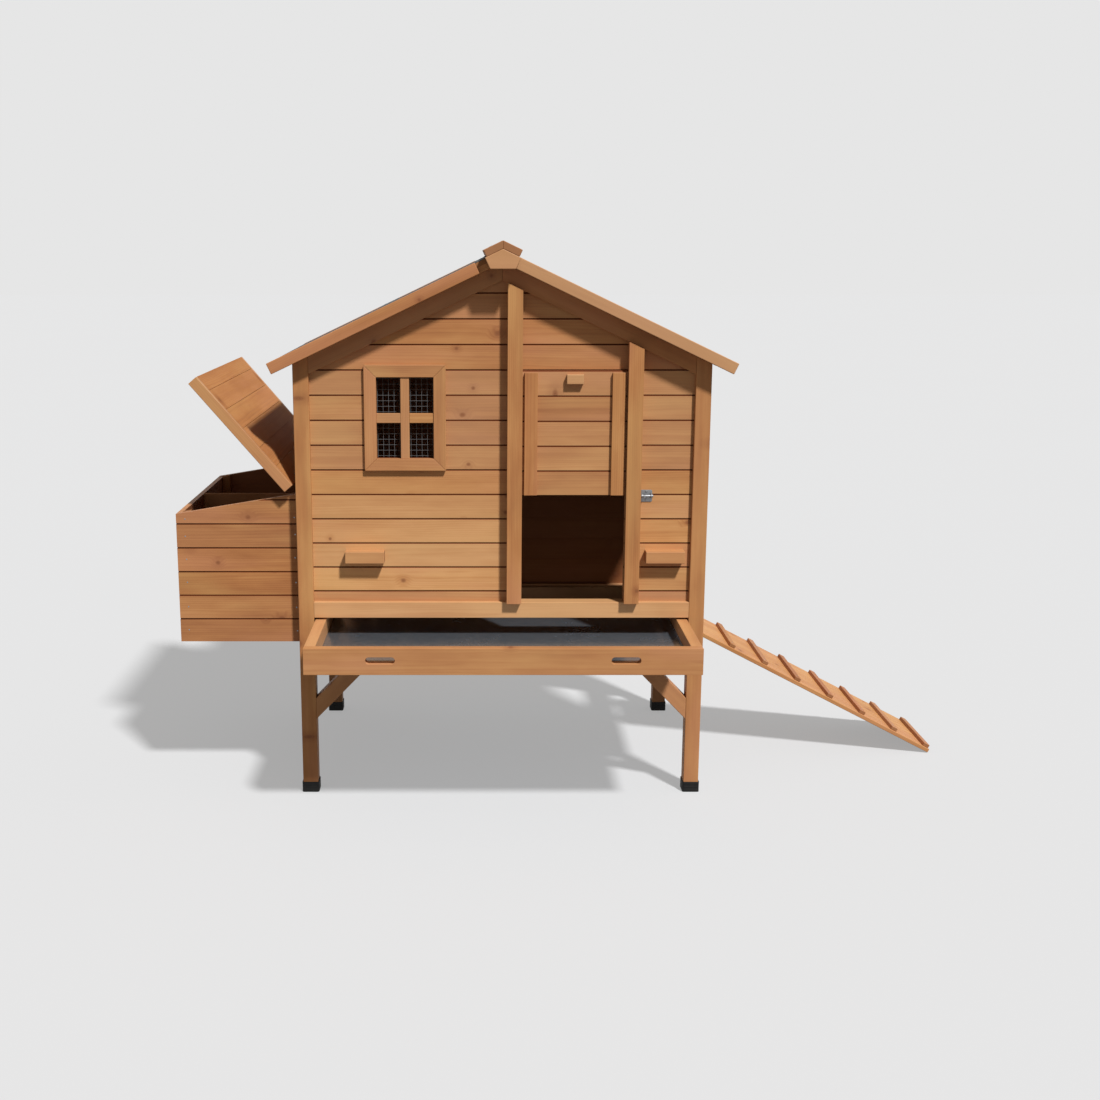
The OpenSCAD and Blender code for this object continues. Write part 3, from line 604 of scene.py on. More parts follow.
def mark_grain(piece, name, tones, fades, climb, lean, boarded):
    """Writes grain, tone, fade, end_grain and hidden on the mesh of a wooden piece.

    The tone of a board lies between the two tones, plus what the line climb gives for its height.
    Its fade says how much of the stain's warmth the weather has taken, and lean is what both change
    by from the left to the right. Only boarded pieces get painted shade in their grooves and on their backs.
    """
    work = bmesh.new()
    work.from_mesh(piece.data)
    grain = work.verts.layers.float_vector.new("grain")
    tone = work.verts.layers.float.new("tone")
    fade = work.verts.layers.float.new("fade")
    end_grain = work.faces.layers.float.new("end_grain")
    hidden = work.faces.layers.float.new("hidden")
    boards = boards_of(work)
    heights = [middle_of(corners)[2] for corners in boards]
    for number, corners in enumerate(boards):
        chance = random.Random(f"{name} {number}")
        axes = grain_axes(corners)
        middle = Vector(middle_of(corners))
        shift = Vector((chance.uniform(0.0, LOG_LENGTH), chance.uniform(-OFF_HEART, OFF_HEART),
                        chance.uniform(*HEART_DEPTH)))
        share = (middle.z - min(heights)) / max(max(heights) - min(heights), SHORT_WALL)
        right = max(-1.0, min(1.0, (middle.x - HOUSE_MIDDLE.x) / LEAN_REACH))
        board_tone = chance.uniform(*tones) + between(climb, share) + lean[0] * right
        board_fade = chance.uniform(*fades) + lean[1] * right
        for corner in corners:
            corner[grain] = Vector([(corner.co - middle).dot(axis) for axis in axes]) + shift
            corner[tone] = board_tone
            corner[fade] = board_fade
        for face in {face for corner in corners for face in corner.link_faces}:
            face[end_grain] = 1.0 if abs(face.normal.dot(axes[0])) > ENDWISE else 0.0
        if boarded:
            mark_painted_shade(work, corners, axes, hidden)
    work.to_mesh(piece.data)
    work.free()


print("marks: grain, tone, fade, end_grain, hidden")

# %% [markdown]
# ## Knots
#
# A knot is where a branch left the log, so it runs outwards from the heart. Spots on the surface would
# be the easy way, but they look pasted on. Here a Voronoi pattern is laid out along the log and around
# its heart, so that knots are round on a wide face and drawn out on an edge, as branches are.

# %% Recipe for knots
KNOTS_ALONG = 3.4
KNOTS_ROUND = 1.35
SMALLEST_KNOT = 0.003
KNOT_GROWTH = 0.003
KNOT_STRETCH = 0.6


def knots(wood, along, angle, heart, share):
    """How many knot radii a point lies from the nearest knot, and whether that knot is there at all."""
    layout = wood.vector(along * KNOTS_ALONG, angle * KNOTS_ROUND, 0.0)
    cells = wood.add("ShaderNodeTexVoronoi", {"voronoi_dimensions": "2D"},
                     {"Vector": layout, "Scale": 1.0, "Randomness": 0.85}, out="Position")
    centre = wood.add("ShaderNodeSeparateXYZ", None, {0: cells})
    chance = wood.add("ShaderNodeSeparateColor", None, {0: cells.other("Color")})
    away_along = along - centre / KNOTS_ALONG
    away_round = (angle - centre.other("Y") / KNOTS_ROUND) * heart
    away = (away_along * away_along * KNOT_STRETCH + away_round * away_round) ** 0.5
    radius = SMALLEST_KNOT + chance.other("Green") * KNOT_GROWTH
    return away / radius, wood.math("LESS_THAN", chance, share)


print("up to", KNOTS_ALONG, "knots to the metre")

# %% [markdown]
# ## Stained fir
#
# The whole house is fir with a honey-coloured stain. Close up there are latewood lines two or three
# millimetres apart, hair-thin fibres and a few small dark knots; from a step away only soft streaks and
# the different tone of each board are left. A scanned photograph of wood would repeat, so all of it is
# worked out: the rings come from the distance to the heart, bent a little by slow noise, and streaks
# and patches from noise drawn out along the board. Here and there the stain turns pink or yellow. End
# grain drinks more of it and turns darker. Faces marked for painted shade, in the grooves and inside the
# house, are painted a deep dull red. Roughness and bump use the same fibres and rings, and the faces
# with painted shade are rougher, so that they don't mirror the pale backdrop.

# %% Recipe for fir
PINK_BLUSH = (0.53, 0.23, 0.115)
YELLOW_BLUSH = (0.58, 0.34, 0.125)
WEATHERED = (0.5, 0.29, 0.155)
END_STAIN = (0.26, 0.115, 0.05)
# The deep red of the painted shade in the grooves and inside the house.
PAINTED_SHADE_COLOUR = (0.12, 0.022, 0.003)
KNOT_DARK = (0.15, 0.05, 0.02)
KNOT_LIGHT = (0.27, 0.1, 0.04)
RING_SWAY = 0.022
RING_DEPTH = 0.14
WOOD_RELIEF = 0.0003


def mark(wood, name, out="Fac"):
    """One of the marks that mark_grain wrote."""
    return wood.add("ShaderNodeAttribute", {"attribute_name": name}, out=out)


def drawn_out(wood, log, lengthwise, crosswise, detail=2.0, roughness=0.5):
    """Noise that changes slowly along a board and quickly across it."""
    along, across, depth = log
    place = wood.vector(along * lengthwise, across * crosswise, depth * crosswise)
    return wood.noise(place, 1.0, detail, roughness)


def fir(name, tints, knot_share=0.7, rough=0.56, ring_width=0.0027, sheen=0.25, uneven=1.0):
    """Fir in a stain whose tints run from pale to dark; uneven says how patchy it has dried."""
    material, wood, shader = new_finish(name, Specular_IOR_Level=sheen)
    along = wood.add("ShaderNodeSeparateXYZ", None, {0: mark(wood, "grain", "Vector")})
    across = along.other("Y")
    depth = along.other("Z")
    log = (along, across, depth)
    end = mark(wood, "end_grain")
    hidden = mark(wood, "hidden")

    bent = across + (drawn_out(wood, log, 1.7, 7.0) - 0.5) * RING_SWAY
    heart = (bent * bent + depth * depth) ** 0.5
    angle = wood.math("ARCTAN2", bent, depth)
    ratio, present = knots(wood, along, angle, heart, knot_share)
    knot = (1.0 - wood.smooth(ratio, 0.3, 1.35)) * present
    halo = (1.0 - wood.smooth(ratio, 0.8, 4.0)) * present

    drift = drawn_out(wood, log, 3.0, 30.0)
    phase = wood.math("FRACT", heart / ring_width + halo * 1.6 + drift * 1.5)
    late = wood.smooth(phase, 0.35, 0.93) * (1.0 - wood.smooth(phase, 0.93, 1.0))
    fibre = drawn_out(wood, log, 14.0, 900.0)
    streak = drawn_out(wood, (along, bent, depth), 1.1, 55.0, 3.0, 0.6)
    cloud = drawn_out(wood, log, 5.0, 17.0, 3.0, 0.6)
    blush = drawn_out(wood, log, 2.6, 11.0)

    stain = mark(wood, "tone") + (streak - 0.5) * (0.75 * uneven) + (cloud - 0.5) * (0.85 * uneven)
    stain = stain + late * RING_DEPTH + (fibre - 0.5) * 0.16 + halo * 0.26
    body = wood.add("ShaderNodeValToRGB", {"stops": tints}, {"Fac": stain}, out="Color")
    body = wood.mix(wood.smooth(blush, 0.48, 0.72) * (0.42 * uneven), body, PINK_BLUSH)
    body = wood.mix(wood.smooth(1.0 - blush, 0.52, 0.74) * (0.34 * uneven), body, YELLOW_BLUSH)
    body = wood.mix(mark(wood, "fade"), body, WEATHERED)
    body = wood.mix(end * 0.62, body, END_STAIN)
    # Painted shade: faces marked in the grooves and inside the house turn deep red.
    body = wood.mix(hidden * 0.95, body, PAINTED_SHADE_COLOUR)
    whorl = wood.math("FRACT", ratio * 2.6 + drift)
    colour = wood.mix(knot * 0.75, body, wood.mix(whorl, KNOT_DARK, KNOT_LIGHT))
    roughness = fibre * 0.16 + (rough - 0.08) + end * 0.15 + hidden * 0.4 - late * 0.05
    height = fibre * 0.55 + late * 0.3 - knot * 0.6 + streak * 0.3

    wood.feed(shader.inputs["Base Color"], colour)
    wood.feed(shader.inputs["Roughness"], roughness)
    wood.feed(shader.inputs["Normal"], wood.bump(height, 0.35, WOOD_RELIEF))
    return material


print("latewood darkens the stain by up to", RING_DEPTH)

# %% [markdown]
# ## Five wood finishes
#
# The same recipe gives every kind of wood on the house. Boards are knotty, rails and frames were picked
# clear and planed smoother, and the lid of the nest box has the quietest wood and hardly any gloss. The
# ridge and the cleats took a redder stain, and what nobody sees was left almost bare. A recipe for each
# would let the finishes drift apart, so they only differ in a few values.

# %% Mix the wood finishes
HONEY = [(0.0, (0.61, 0.32, 0.13)), (0.3, (0.52, 0.25, 0.092)), (0.62, (0.42, 0.178, 0.062)),
         (1.0, (0.3, 0.11, 0.038))]
RUSSET = [(0.0, (0.5, 0.22, 0.1)), (0.5, (0.38, 0.15, 0.062)), (1.0, (0.25, 0.09, 0.036))]
BARE = [(0.0, (0.5, 0.27, 0.115)), (0.5, (0.4, 0.19, 0.075)), (1.0, (0.29, 0.12, 0.045))]
honey_fir = fir("honey_fir", HONEY)
planed_fir = fir("planed_fir", HONEY, knot_share=0.12, rough=0.52, ring_width=0.0022)
lid_fir = fir("lid_fir", HONEY, knot_share=0.08, rough=0.62, ring_width=0.0022, sheen=0.03, uneven=0.55)
russet_fir = fir("russet_fir", RUSSET, knot_share=0.3, rough=0.58, sheen=0.12)
bare_fir = fir("bare_fir", BARE, knot_share=0.5, rough=0.72, sheen=0.04)
print("wood finishes:", honey_fir.name, planed_fir.name, lid_fir.name, russet_fir.name, bare_fir.name)

# %% [markdown]
# ## Dressing a piece of timber
#
# The CAD boards already have the true sizes, but their edges are knife-sharp, and real timber never
# is: planing and a quick rub with sandpaper leave an arris of about a millimetre that catches the
# light. Each wooden node could be modelled anew, but a copy is quicker and can't miss its place. Its
# loose triangles are merged into clean faces, boards that touch are parted, its edges are bevelled, and
# its boards are marked with their grain. Tongued boards have chamfers already, so they keep their edges.

# %% Copy, clean, bevel and mark one node
TONGUED = 0.0
WELD_REACH = 0.00001
FLAT_TURN = 0.5


def dress(node, finish, tones=None, arris=TONGUED, fades=(0.0, 0.35), climb=LEVEL, lean=(0.0, 0.0),
          angle=40.0, paints_shade=True):
    piece = bpy.data.objects.new(node + "_dressed", frame["nodes"][node].data.copy())
    bpy.context.scene.collection.objects.link(piece)
    take(piece)
    bpy.ops.mesh.customdata_custom_splitnormals_clear()
    bpy.ops.object.mode_set(mode="EDIT")
    bpy.ops.mesh.select_all(action="SELECT")
    bpy.ops.mesh.remove_doubles(threshold=WELD_REACH)
    bpy.ops.mesh.dissolve_limited(angle_limit=math.radians(FLAT_TURN))
    bpy.ops.object.mode_set(mode="OBJECT")
    part_boards(piece)
    if arris != TONGUED:
        soften(piece, arris, angle=angle)
    if tones:
        mark_grain(piece, node, tones, fades, climb, lean, paints_shade and arris == TONGUED)
    hand_over(piece, finish, slot_of_node[node], body_of_node[node], node)
    return piece


print("a node can be dressed")

# %% [markdown]
# ## The timber that is all of a kind
#
# Most timber needs only its finish, the palest and darkest tone of its boards, and its arris. A list
# keeps these side by side, where they are easy to compare with the photograph.

# %% Dress the plain timber
timber = [
    ("leg_front_right", honey_fir, (0.56, 0.6), 0.0016),
    ("leg_rear_left", honey_fir, (0.5, 0.6), 0.0016),
    ("leg_rear_right", honey_fir, (0.5, 0.6), 0.0016),
    ("base_rails", bare_fir, (0.75, 0.9), 0.0014),
    ("leg_braces", honey_fir, (0.5, 0.6), 0.0014),
    ("tray_runners", bare_fir, (0.7, 0.9), 0.001),
    # The sill's palest tone is partly its own wood and partly painted light, as bounced up from the tray's
    # sheet.
    ("front_sill", planed_fir, (0.1, 0.14), 0.0012),
    ("rake_rails", honey_fir, (0.6, 0.75), 0.001),
    ("side_top_rails", honey_fir, (0.45, 0.6), 0.001),
    ("rear_siding", honey_fir, (0.3, 0.7), TONGUED),
    ("left_siding", honey_fir, (0.3, 0.7), TONGUED),
    ("right_siding", honey_fir, (0.3, 0.7), TONGUED),
    ("left_wall_stud", bare_fir, (0.8, 1.0), 0.001),
    ("window_frame", planed_fir, (0.48, 0.6), 0.001),
    ("window_muntins", planed_fir, (0.5, 0.6), 0.0008),
    ("side_door_guides", planed_fir, (0.5, 0.62), 0.0011),
    ("lifting_grips", planed_fir, (0.34, 0.46), 0.0014),
    ("perches", bare_fir, (0.2, 0.4), 0.003),
    ("perch_holders", bare_fir, (0.4, 0.6), 0.001),
    ("roof_rafters", honey_fir, (0.5, 0.7), 0.001),
    ("roof_boards_left", bare_fir, (0.4, 0.8), TONGUED),
    ("roof_boards_right", bare_fir, (0.4, 0.8), TONGUED),
    ("ridge_cap", russet_fir, (0.2, 0.4), 0.0014),
    # The nest box's floor, divider and uprights take the darkest tones, as painted shade inside the box.
    ("nest_floor", bare_fir, (0.9, 1.1), 0.001),
    ("nest_divider", bare_fir, (0.9, 1.1), 0.001),
    ("nest_uprights", bare_fir, (0.8, 1.0), 0.001),
    ("nest_ledger", honey_fir, (0.5, 0.65), 0.001),
    ("side_door_boards", honey_fir, (0.4, 0.6), TONGUED),
    ("side_door_stiles", planed_fir, (0.52, 0.6), 0.001),
    ("side_door_handle", planed_fir, (0.3, 0.4), 0.0014),
    ("lid_battens", honey_fir, (0.6, 0.7), 0.001),
    ("tray_front", honey_fir, (0.5, 0.54), 0.0011),
    ("tray_sides", planed_fir, (0.3, 0.42), 0.0011),
    # The tray's rear board takes a dark tone as painted shade at the back of the house.
    ("tray_rear", bare_fir, (0.9, 1.0), 0.0011),
    ("ramp_cleats", russet_fir, (0.45, 0.6), 0.0012),
]
for node, finish, tones, arris in timber:
    dress(node, finish, tones, arris)
print("plain timber nodes dressed:", len(timber))

# %% [markdown]
# ## The timber with a look of its own
#
# Some pieces at the front differ board by board in the photograph. The lowest board of the front wall is
# darker in its own tone, and above it the wall is painted lighter low down and darker high up, as painted
# light bounced up from the tray's sheet. The barge boards grow paler and greyer to the right, and the
# door, the lid and the guides have faded by their own amounts. Colours could be painted on by hand, but
# a few values to each node hold at any size.

# %% Dress the singled out timber
# Tone by height on the front wall: the darker lowest board is its own tone; above it, lighter low and darker
# high is painted light bounced from the tray.
WALL_TONE_AND_LIGHT = ((0.0, 0.4), (0.04, 0.4), (0.06, 0.05), (0.12, 0.0), (0.31, 0.0), (0.36, 0.14), (0.42, 0.2),
              (0.46, 0.42), (1.0, 0.42))
singled_out = [
    ("front_siding", honey_fir, (0.08, 0.24), TONGUED, {"climb": WALL_TONE_AND_LIGHT, "lean": (0.08, 0.0)}),
    ("leg_front_left", honey_fir, (0.52, 0.56), 0.0016, {"fades": (0.0, 0.06)}),
    ("front_door_guides", planed_fir, (0.58, 0.64), 0.0011, {"fades": (0.0, 0.04)}),
    ("front_door_stiles", planed_fir, (0.58, 0.66), 0.001, {"fades": (0.0, 0.04)}),
    ("nest_front", honey_fir, (0.55, 0.8), TONGUED, {"fades": (0.0, 0.2)}),
    ("nest_rear", honey_fir, (0.5, 0.8), TONGUED, {}),
    ("nest_end_wall", honey_fir, (0.5, 0.8), TONGUED, {}),
    ("front_door_boards", honey_fir, (0.42, 0.6), TONGUED, {"fades": (0.15, 0.4)}),
    ("front_door_handle", planed_fir, (0.3, 0.4), 0.0014, {"fades": (0.4, 0.5)}),
    ("barge_boards", honey_fir, (0.5, 0.56), 0.0014, {"fades": (0.28, 0.32), "lean": (-0.12, 0.26)}),
    ("gable_plates", planed_fir, (0.4, 0.5), 0.0014, {"fades": (0.4, 0.5)}),
    ("lid_boards", lid_fir, (0.56, 0.6), TONGUED, {"fades": (0.0, 0.0), "paints_shade": False}),
    ("lid_rims", planed_fir, (0.4, 0.5), 0.0011, {"fades": (0.2, 0.4)}),
    ("ramp_board", honey_fir, (0.3, 0.36), 0.0012, {"fades": (0.0, 0.0)}),
]
for node, finish, tones, arris, options in singled_out:
    dress(node, finish, tones, arris, **options)
print("singled out timber nodes dressed:", len(singled_out))

# %% [markdown]
# ## Zinc
#
# Bolts, hinges and screws are steel with a thin bright coat of zinc, which shows as small changes of
# brightness and a few dull spots. A plain grey metal looks like plastic at this size, so noise moves
# the colour and the roughness together. The wire of the window is so fine that its gloss would only
# flicker, so it is a plain grey that isn't metallic.


# %% Recipe for zinc
def zinc(name, shade, rough, metallic=1.0, specular=0.5):
    material, metal, shader = new_finish(name, Metallic=metallic, Specular_IOR_Level=specular)
    place = metal.add("ShaderNodeTexCoord", out="Object")
    flakes = metal.add("ShaderNodeTexVoronoi", None, {"Vector": place, "Scale": 420.0}, out="Distance")
    wear = metal.noise(place, 95.0, 3.0, 0.6)
    tint = metal.mix(wear, (shade * 0.72, shade * 0.73, shade * 0.75), (shade, shade * 1.01, shade * 1.03))
    dull = metal.smooth(wear, 0.62, 0.8)
    metal.feed(shader.inputs["Base Color"], metal.mix(0.5 * dull, tint, (0.33, 0.33, 0.32)))
    metal.feed(shader.inputs["Roughness"], wear * 0.2 + flakes * 0.15 + (rough - 0.1) + dull * 0.2)
    metal.feed(shader.inputs["Normal"], metal.bump(wear + flakes * 0.3, 0.2, 0.0002))
    return material


zinc_plate = zinc("zinc_plate", 0.28, 0.42)
nail_steel = zinc("nail_steel", 0.34, 0.5)
clout_zinc = zinc("clout_zinc", 0.17, 0.55)
wire_zinc = zinc("wire_zinc", 0.28, 0.6, metallic=0.0, specular=0.1)
print("zinc finishes:", zinc_plate.name, nail_steel.name, clout_zinc.name, wire_zinc.name)

# %% [markdown]
# ## Galvanised sheet
#
# The floor of the tray is galvanised sheet: its coat froze into flakes, a centimetre or two across,
# each of a slightly different grey, and the rolls of the mill left fine lines. The flakes are cells of
# a Voronoi pattern with a bent outline, because straight cells look like tiles. The thin sheet is never
# quite flat, which a slow bump shows in what it mirrors.


# %% Recipe for galvanised sheet
def galvanised(name):
    material, metal, shader = new_finish(name, Metallic=0.84, Specular_IOR_Level=0.3)
    place = metal.add("ShaderNodeTexCoord", out="Object")
    axes = metal.add("ShaderNodeSeparateXYZ", None, {0: place})
    warp = metal.vector(metal.noise(place, 18.0, 2.0) * 0.02, 0.0, 0.0)
    bent = metal.add("ShaderNodeVectorMath", {"operation": "ADD"}, {0: place, 1: warp})
    flakes = metal.add("ShaderNodeTexVoronoi", None, {"Vector": bent, "Scale": 75.0}, out="Color")
    shade = metal.add("ShaderNodeSeparateColor", None, {0: flakes})
    rolled = metal.noise(metal.vector(axes * 2.0, axes.other("Y") * 160.0, 0.0), 1.0, 2.0)
    dust = metal.smooth(metal.noise(place, 5.0, 4.0, 0.6), 0.4, 0.75)
    waves = metal.noise(place, 1.6, 1.0)
    # The blue in this grey is partly zinc's own cool colour and partly a painted reflection of a blue sky.
    tint = metal.mix(shade * 0.6 + rolled * 0.4, (0.3, 0.345, 0.4), (0.36, 0.405, 0.46))
    metal.feed(shader.inputs["Base Color"], metal.mix(dust * 0.15, tint, (0.3, 0.31, 0.32)))
    metal.feed(shader.inputs["Roughness"], shade * 0.03 + rolled * 0.04 + dust * 0.05 + 0.2)
    metal.feed(shader.inputs["Normal"], metal.bump(waves, 0.3, 0.004))
    return material


galvanised_sheet = galvanised("galvanised_sheet")
print("sheet finish:", galvanised_sheet.name)

# %% [markdown]
# ## Rubber
#
# The foot caps are moulded rubber, black and dull, and a little dusty near the ground. Pure black would
# lose their shape, so the dust lifts it in patches and along the lowest two centimetres.


# %% Recipe for rubber
def moulded_rubber(name):
    material, rubber, shader = new_finish(name, Specular_IOR_Level=0.22)
    place = rubber.add("ShaderNodeTexCoord", out="Object")
    height = rubber.add("ShaderNodeSeparateXYZ", None, {0: place}, out="Z")
    grain = rubber.noise(place, 1500.0, 2.0)
    dust = rubber.noise(place, 60.0, 4.0, 0.6)
    low = 1.0 - rubber.smooth(height, 0.0, 0.02)
    dusty = rubber.smooth(dust, 0.45, 0.8) * 0.2 + low * 0.1
    rubber.feed(shader.inputs["Base Color"], rubber.mix(dusty, (0.006, 0.006, 0.006), (0.05, 0.045, 0.038)))
    rubber.feed(shader.inputs["Roughness"], 0.45 + dust * 0.25)
    rubber.feed(shader.inputs["Normal"], rubber.bump(grain, 0.3, 0.0002))
    return material


cap_rubber = moulded_rubber("cap_rubber")
print("rubber finish:", cap_rubber.name)

# %% [markdown]
# ## Felt
#
# The roof is covered with felt that is faced with mineral grit. Real grains would be far too many, so
# each cell of a fine Voronoi pattern is one grain with a grey of its own, and the distance to the middle
# of its cell raises it. Slow noise adds the darker patches where the grit has worn.


# %% Recipe for felt
def mineral_felt(name):
    material, felt, shader = new_finish(name, Specular_IOR_Level=0.25)
    place = felt.add("ShaderNodeTexCoord", out="Object")
    grit = felt.add("ShaderNodeTexVoronoi", None, {"Vector": place, "Scale": 620.0}, out="Color")
    grain = felt.add("ShaderNodeSeparateColor", None, {0: grit})
    patch = felt.noise(place, 7.0, 4.0, 0.6)
    tint = felt.mix(grain, (0.035, 0.036, 0.038), (0.15, 0.15, 0.148))
    tint = felt.mix(felt.smooth(patch, 0.4, 0.75) * 0.35, tint, (0.05, 0.052, 0.05))
    height = 1.0 - grit.other("Distance") * 1.2 + patch
    felt.feed(shader.inputs["Base Color"], tint)
    felt.feed(shader.inputs["Roughness"], 0.7 + grain * 0.25)
    felt.feed(shader.inputs["Normal"], felt.bump(height, 0.5, 0.0007))
    return material


roof_felt = mineral_felt("roof_felt")
print("felt finish:", roof_felt.name)

# %% [markdown]
# ## The floor of the tray
#
# The tray's floor is a thin loose sheet, and in the photograph its right edge has sprung up against the
# side board and mirrors the sky. A flat box would miss that line of light. One plane is drawn out along
# that edge in short steps that turn upwards, and then gets its thickness.

# %% Model the tray's sheet
SHEET_RISE = [(0.012, 0.0006), (0.009, 0.0014), (0.007, 0.0028), (0.004, 0.0036), (0.0015, 0.004)]
SHEET_CLEARANCE = 0.0015
SAME_PLACE = 1e-6
pan_low, pan_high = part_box("tray_pan")
_, rear_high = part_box("tray_rear")
flat_end = rear_high.x - SHEET_CLEARANCE - sum(step[0] for step in SHEET_RISE)
clear_selection()
bpy.ops.mesh.primitive_plane_add(size=1.0)
sheet = bpy.context.object
sheet.scale = (flat_end - pan_low.x, pan_high.y - pan_low.y, 1.0)
sheet.location = ((flat_end + pan_low.x) / 2.0, (pan_low.y + pan_high.y) / 2.0, pan_high.z)
apply_place(sheet)
for along_x, up in SHEET_RISE:
    furthest = max(vertex.co.x for vertex in sheet.data.vertices)
    pick_edges(sheet, lambda a, b: min(a.x, b.x) > furthest - SAME_PLACE)
    draw_out(along_x, 0.0, up)
modify(sheet, "SOLIDIFY", thickness=pan_high.z - pan_low.z, offset=-1.0)
soften(sheet, 0.0003, angle=50.0)
smooth(sheet, 35.0)
sheet.name = "tray_sheet"
hand_over(sheet, galvanised_sheet, "galvanised_sheet", "tray", "tray_pan")

# %% [markdown]
# ## Hinge leaves
#
# The hinge leaves have their true shapes in the CAD already. They could be modelled again, but they
# need only clean faces, the tiny round on the edge that a press leaves on sheet metal, and their finish.

# %% Dress the hinge leaves
PRESSED_EDGE = 0.0002
hinge_nodes = ("hinge_wall_leaves", "lid_hinge_leaves", "ramp_hinge_leaves")
for node in hinge_nodes:
    smooth(dress(node, zinc_plate, arris=PRESSED_EDGE, angle=50.0), 20.0)
print("hinge nodes dressed:", len(hinge_nodes))

# %% [markdown]
# ## Foot caps
#
# Each leg stands in a square rubber cap. It is moulded, so its edges are well rounded and its rim is a
# little thinner than its sole. A cap could be cut out with a Boolean, but hand tools leave cleaner
# faces: from a cube the upright edges are rounded first, the top is inset to the section of the leg and
# pushed down to the sole, and two shallow grooves are pressed into each side. The other three are copies.

# %% Model one cap and copy it
CAP_CORNER = 0.0045
CAP_GROOVES = (0.35, 0.65)
CAP_GROOVE_WIDTH = 0.0016
CAP_GROOVE_DEPTH = 0.0006
caps_low, caps_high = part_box("foot_caps")
leg_low, leg_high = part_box("leg_front_left")
cap_width = -2.0 * caps_low.x
cap_height = caps_high.z
leg_width = leg_high.x - leg_low.x
outside = leg_width / 2.0 + 0.0005
clear_selection()
bpy.ops.mesh.primitive_cube_add(size=1.0, location=(0.0, 0.0, cap_height / 2.0))
cap = bpy.context.object
cap.scale = (cap_width, cap_width, cap_height)
apply_place(cap)
pick_edges(cap, lambda a, b: abs(a.x - b.x) < SAME_PLACE and abs(a.y - b.y) < SAME_PLACE)
round_off(CAP_CORNER, 5)
pick_faces(cap, lambda centre, normal: normal.z > 0.9)
bpy.ops.mesh.inset(thickness=(cap_width - leg_width) / 2.0)
draw_out(0.0, 0.0, leg_low.z - cap_height)
for level in CAP_GROOVES:
    groove_z = level * cap_height
    for edge_z in (groove_z - CAP_GROOVE_WIDTH / 2.0, groove_z + CAP_GROOVE_WIDTH / 2.0):
        pick_faces(cap, lambda centre, normal: True)
        bpy.ops.mesh.bisect(plane_co=(0.0, 0.0, edge_z), plane_no=(0.0, 0.0, 1.0))
    pick_faces(cap, lambda centre, normal: abs(normal.z) < 0.2
               and abs(centre.z - groove_z) < CAP_GROOVE_DEPTH
               and max(abs(centre.x), abs(centre.y)) > outside)
    bpy.ops.mesh.extrude_region_shrink_fatten(TRANSFORM_OT_shrink_fatten={"value": -CAP_GROOVE_DEPTH})
soften(cap, 0.0004, angle=50.0)
foot_places = [Matrix.Translation((x, y, 0.0)) for x in (0.0, caps_high.x + caps_low.x)
               for y in (0.0, caps_high.y + caps_low.y)]
caps = copies(cap, foot_places, "rubber_foot_caps")
smooth(caps, 35.0)
hand_over(caps, cap_rubber, "rubber", "root", "foot_caps")

# %% [markdown]
# ## Wire mesh in the window
#
# The window is closed with welded mesh: level wires half an inch apart, with upright ones welded on
# behind them. A flat sheet with square holes would do from far away, but round wires in two layers
# catch the light as the real ones do. One upright and one level wire are modelled, and an Array
# modifier repeats each at the pitch.

# %% Two layers of round wires
MESH_PITCH = 0.0127
WIRE_RADIUS = 0.00025
WELDED = 0.00045
net_low, net_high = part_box("window_mesh")
net_middle = (net_low + net_high) / 2.0
columns = round((net_high.x - net_low.x) / MESH_PITCH) + 1
levels = round((net_high.z - net_low.z) / MESH_PITCH) + 1


def row_of_wires(length, place, turn, count, pitch):
    """One round wire, repeated at a pitch."""
    clear_selection()
    bpy.ops.mesh.primitive_cylinder_add(vertices=8, radius=WIRE_RADIUS, depth=length,
                                        rotation=(0.0, math.radians(turn), 0.0), location=place)
    wire = bpy.context.object
    apply_place(wire)
    modify(wire, "ARRAY", count=count, use_relative_offset=False, use_constant_offset=True,
           constant_offset_displace=pitch)
    return wire


upright_start = (net_low.x + WIRE_RADIUS, net_low.y + WIRE_RADIUS + WELDED, net_middle.z)
upright = row_of_wires(net_high.z - net_low.z, upright_start, 0.0, columns, (MESH_PITCH, 0.0, 0.0))
level_start = (net_middle.x, net_low.y + WIRE_RADIUS, net_low.z + WIRE_RADIUS)
level = row_of_wires(net_high.x - net_low.x, level_start, 90.0, levels, (0.0, 0.0, MESH_PITCH))
net = join([upright, level], "window_wire")
smooth(net, 50.0)
hand_over(net, wire_zinc, "zinc", "root", "window_mesh")
print("wires:", columns, "upright and", levels, "level")

# %% [markdown]
# ## Roofing felt
#
# Felt comes in strips. The lower strip is laid first and folded down over the eaves, the upper one laps
# over it, so that rain runs off. One sheet bent over the roof would be simpler, but the lap is what
# shows that it is felt. A plane is drawn out step by step in the frame of the slope, given its
# thickness, and then turned to the pitch of the roof.

# %% A strip of felt
ROOF_PITCH = math.radians(25.4)
FELT = 0.001
FELT_TOP = 0.0262
LAP_START = 0.29
LAP_END = 0.335
RIDGE_GAP = 0.001
START_WIDTH = 0.01
felt_low, felt_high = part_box("roofing_felt")
ridge_x = (felt_low.x + felt_high.x) / 2.0
ridge_z = felt_high.z - (FELT_TOP * math.cos(ROOF_PITCH) - RIDGE_GAP * math.sin(ROOF_PITCH))
eave = (felt_high.x - ridge_x - FELT_TOP * math.sin(ROOF_PITCH)) / math.cos(ROOF_PITCH)


